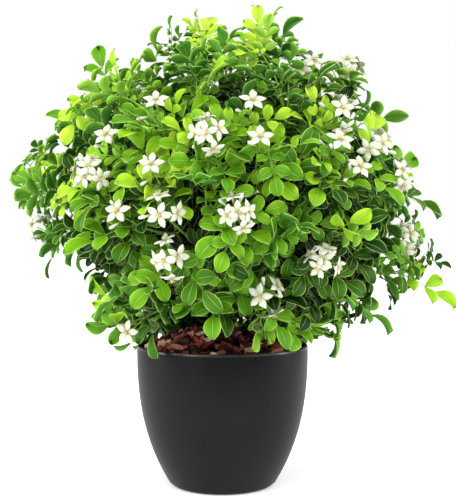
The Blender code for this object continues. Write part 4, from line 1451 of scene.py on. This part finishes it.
def build_mulch(look):
    """A low mound covered with bark chips that lie across one another."""
    base = SOIL_TOP + SEAT_GAP
    hole = TRUNK_HOLE_RADIUS + SEAT_GAP
    radii = [hole + (MULCH_RADIUS - hole) * i / MULCH_ROWS for i in range(MULCH_ROWS + 1)]
    surface = [(radius, mulch_height(radius) - MOUND_SINK) for radius in radii]
    bm = turned([(hole, base), *surface, (MULCH_RADIUS, base)], MULCH_STEPS)
    bm.verts.layers.float.new("tone")
    draws = random.Random(CHIP_SEED)
    # Without a seed, the noise that makes the chips ragged would differ from run to run
    noise.seed_set(CHIP_SEED)
    kinds = [chip_kind(number) for number in range(CHIP_KINDS)]
    for number in range(BARK_CHIPS):
        place = chip_place(number, draws)
        tone = 0.02 + draws.random() ** 1.6
        stamp(bm, draws.choice(kinds), place, tone)
    dressed("bark_mulch_chips", mesh_of("mulch", bm), [look], "bark_mulch")


def dress_soil(look):
    """Gives the solids' soil, which shows as it is, its material."""
    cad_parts["soil"].data.materials.clear()
    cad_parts["soil"].data.materials.append(look)


def build_wood(wood, branches, look):
    """The trunk and its branches, smooth in their bends and rough with bark."""
    trunk = smoothed([Vector(place) * MM for place in TRUNK_COURSE], TRUNK_SMOOTHING)
    girths = smoothed_radii(TRUNK_TAPER, TRUNK_SMOOTHING)
    runs = [(trunk, [TRUNK_RADIUS * girth for girth in girths])]
    for branch in branches:
        loads = [wood[i]["load"] for i in (branch[1], *branch[1:])]
        radii = [min(BRANCH_RADIUS * load ** BRANCH_SWELL, TRUNK_RADIUS) for load in loads]
        path = smoothed([wood[i]["point"] for i in branch], BRANCH_SMOOTHING)
        runs.append((path, smoothed_radii(radii, BRANCH_SMOOTHING)))
    bm = bmesh.new()
    join(bm, rods(runs, resolution=4))
    long_edges = [edge for edge in bm.edges if edge.calc_length() > WOOD_EDGE]
    bmesh.ops.subdivide_edges(bm, edges=long_edges, cuts=1)
    bm.normal_update()
    for vert in bm.verts:
        spot = Vector([c * ridges for c, ridges in zip(vert.co, BARK_RIDGES)])
        vert.co += vert.normal * noise.noise(spot) * BARK_DEPTH * MM
    dressed("living_wood", mesh_of("wood", bm), [look], "trunk_and_branches")


# Stage: floor, sky, lights and camera


def aimed(name, data, place, target):
    """Puts a light or a camera at a place, so that it points at its target."""
    obj = object_of(name, data)
    obj.location = place
    obj.rotation_euler = (Vector(target) - Vector(place)).to_track_quat("-Z", "Y").to_euler()
    return obj


def broad_light(name, place, strength):
    """A light from a far, wide source, as even as a studio's bounced light over the whole floor."""
    light = bpy.data.lights.new(name, "SUN")
    light.energy = strength
    light.angle = BROAD_LIGHT_WIDTH
    aimed(name, light, place, (0, 0, 0))


def softbox(name, place, power, target, size):
    """A softbox beside the camera or the shrub, which draws a soft gleam on the planter."""
    light = bpy.data.lights.new(name, "AREA")
    light.shape = "RECTANGLE"
    light.size, light.size_y = size
    light.energy = power
    aimed(name, light, place, target)


def build_floor():
    """A plain pale floor, wide enough to fill the view."""
    bm = bmesh.new()
    bmesh.ops.create_grid(bm, x_segments=8, y_segments=8, size=FLOOR_SIZE)
    floor = object_of("floor", mesh_of("floor", bm))
    floor.data.materials.append(pale_floor())


def build_sky():
    """A soft sky, brighter overhead, and a white backdrop where the camera sees past the floor."""
    world = bpy.data.worlds.new("studio")
    world.use_nodes = True
    tree = world.node_tree
    backdrop = tree.nodes["Background"]
    backdrop.inputs["Color"].default_value = linear("#ffffff")
    way = add(tree, "TexCoord").outputs["Generated"]
    height = add(tree, "SeparateXYZ", links={"Vector": way}).outputs["Z"]
    brightness = {"From Min": 0.0, "From Max": 0.7, "To Min": 0.14, "To Max": 0.56}
    glow = add(tree, "MapRange", brightness, {"Value": height})
    soft_sky = add(tree, "Background", {"Color": linear("#f8f9fb")}, {"Strength": glow})
    seen = add(tree, "LightPath").outputs["Is Camera Ray"]
    shown = add(tree, "MixShader", links={0: seen, 1: soft_sky, 2: backdrop})
    tree.links.new(shown.outputs[0], tree.nodes["World Output"].inputs["Surface"])
    bpy.context.scene.world = world


def build_camera():
    """The photograph's view: from the front, a little above the planter's rim."""
    camera = bpy.data.cameras.new("camera")
    camera.lens = CAMERA_FOCUS / FRAME_SIDE * camera.sensor_width
    bpy.context.scene.camera = aimed("camera", camera, CAMERA_PLACE, CAMERA_PLACE + CAMERA_WAY)


def main():
    bpy.context.scene.view_settings.view_transform = "Standard"
    build_camera()
    build_floor()
    build_sky()
    for light in BROAD_LIGHTS:
        broad_light(*light)
    for light in SOFTBOXES:
        softbox(*light)
    stems, wood, branches, space = grow()
    sprays = grow_sprays(stems, space)
    side_twigs = fill_out(stems, space)
    build_planter([moulded_plastic(), polished_lip()])
    dress_soil(potting_soil())
    build_mulch(pine_bark())
    build_wood(wood, branches, woody_bark())
    leaf_looks = [waxy_leaf(), leaf_underside(), green_twig()]
    kinds = [leaflet_kind(number) for number in range(LEAFLET_KINDS)]
    for number, (stem, side) in enumerate(zip(stems, side_twigs), 1):
        build_sprig(number, stem, side, kinds, leaf_looks)
    flower_looks = [petal_skin(), pollen(), calyx_green()]
    flower_kinds = [flower_kind(number) for number in range(FLOWER_KINDS)]
    bud_kinds = [bud_kind(number) for number in range(len(BUD_LENGTHS))]
    for number, spray in enumerate(sprays, 1):
        build_spray(number, spray, flower_kinds, bud_kinds, flower_looks)


main()
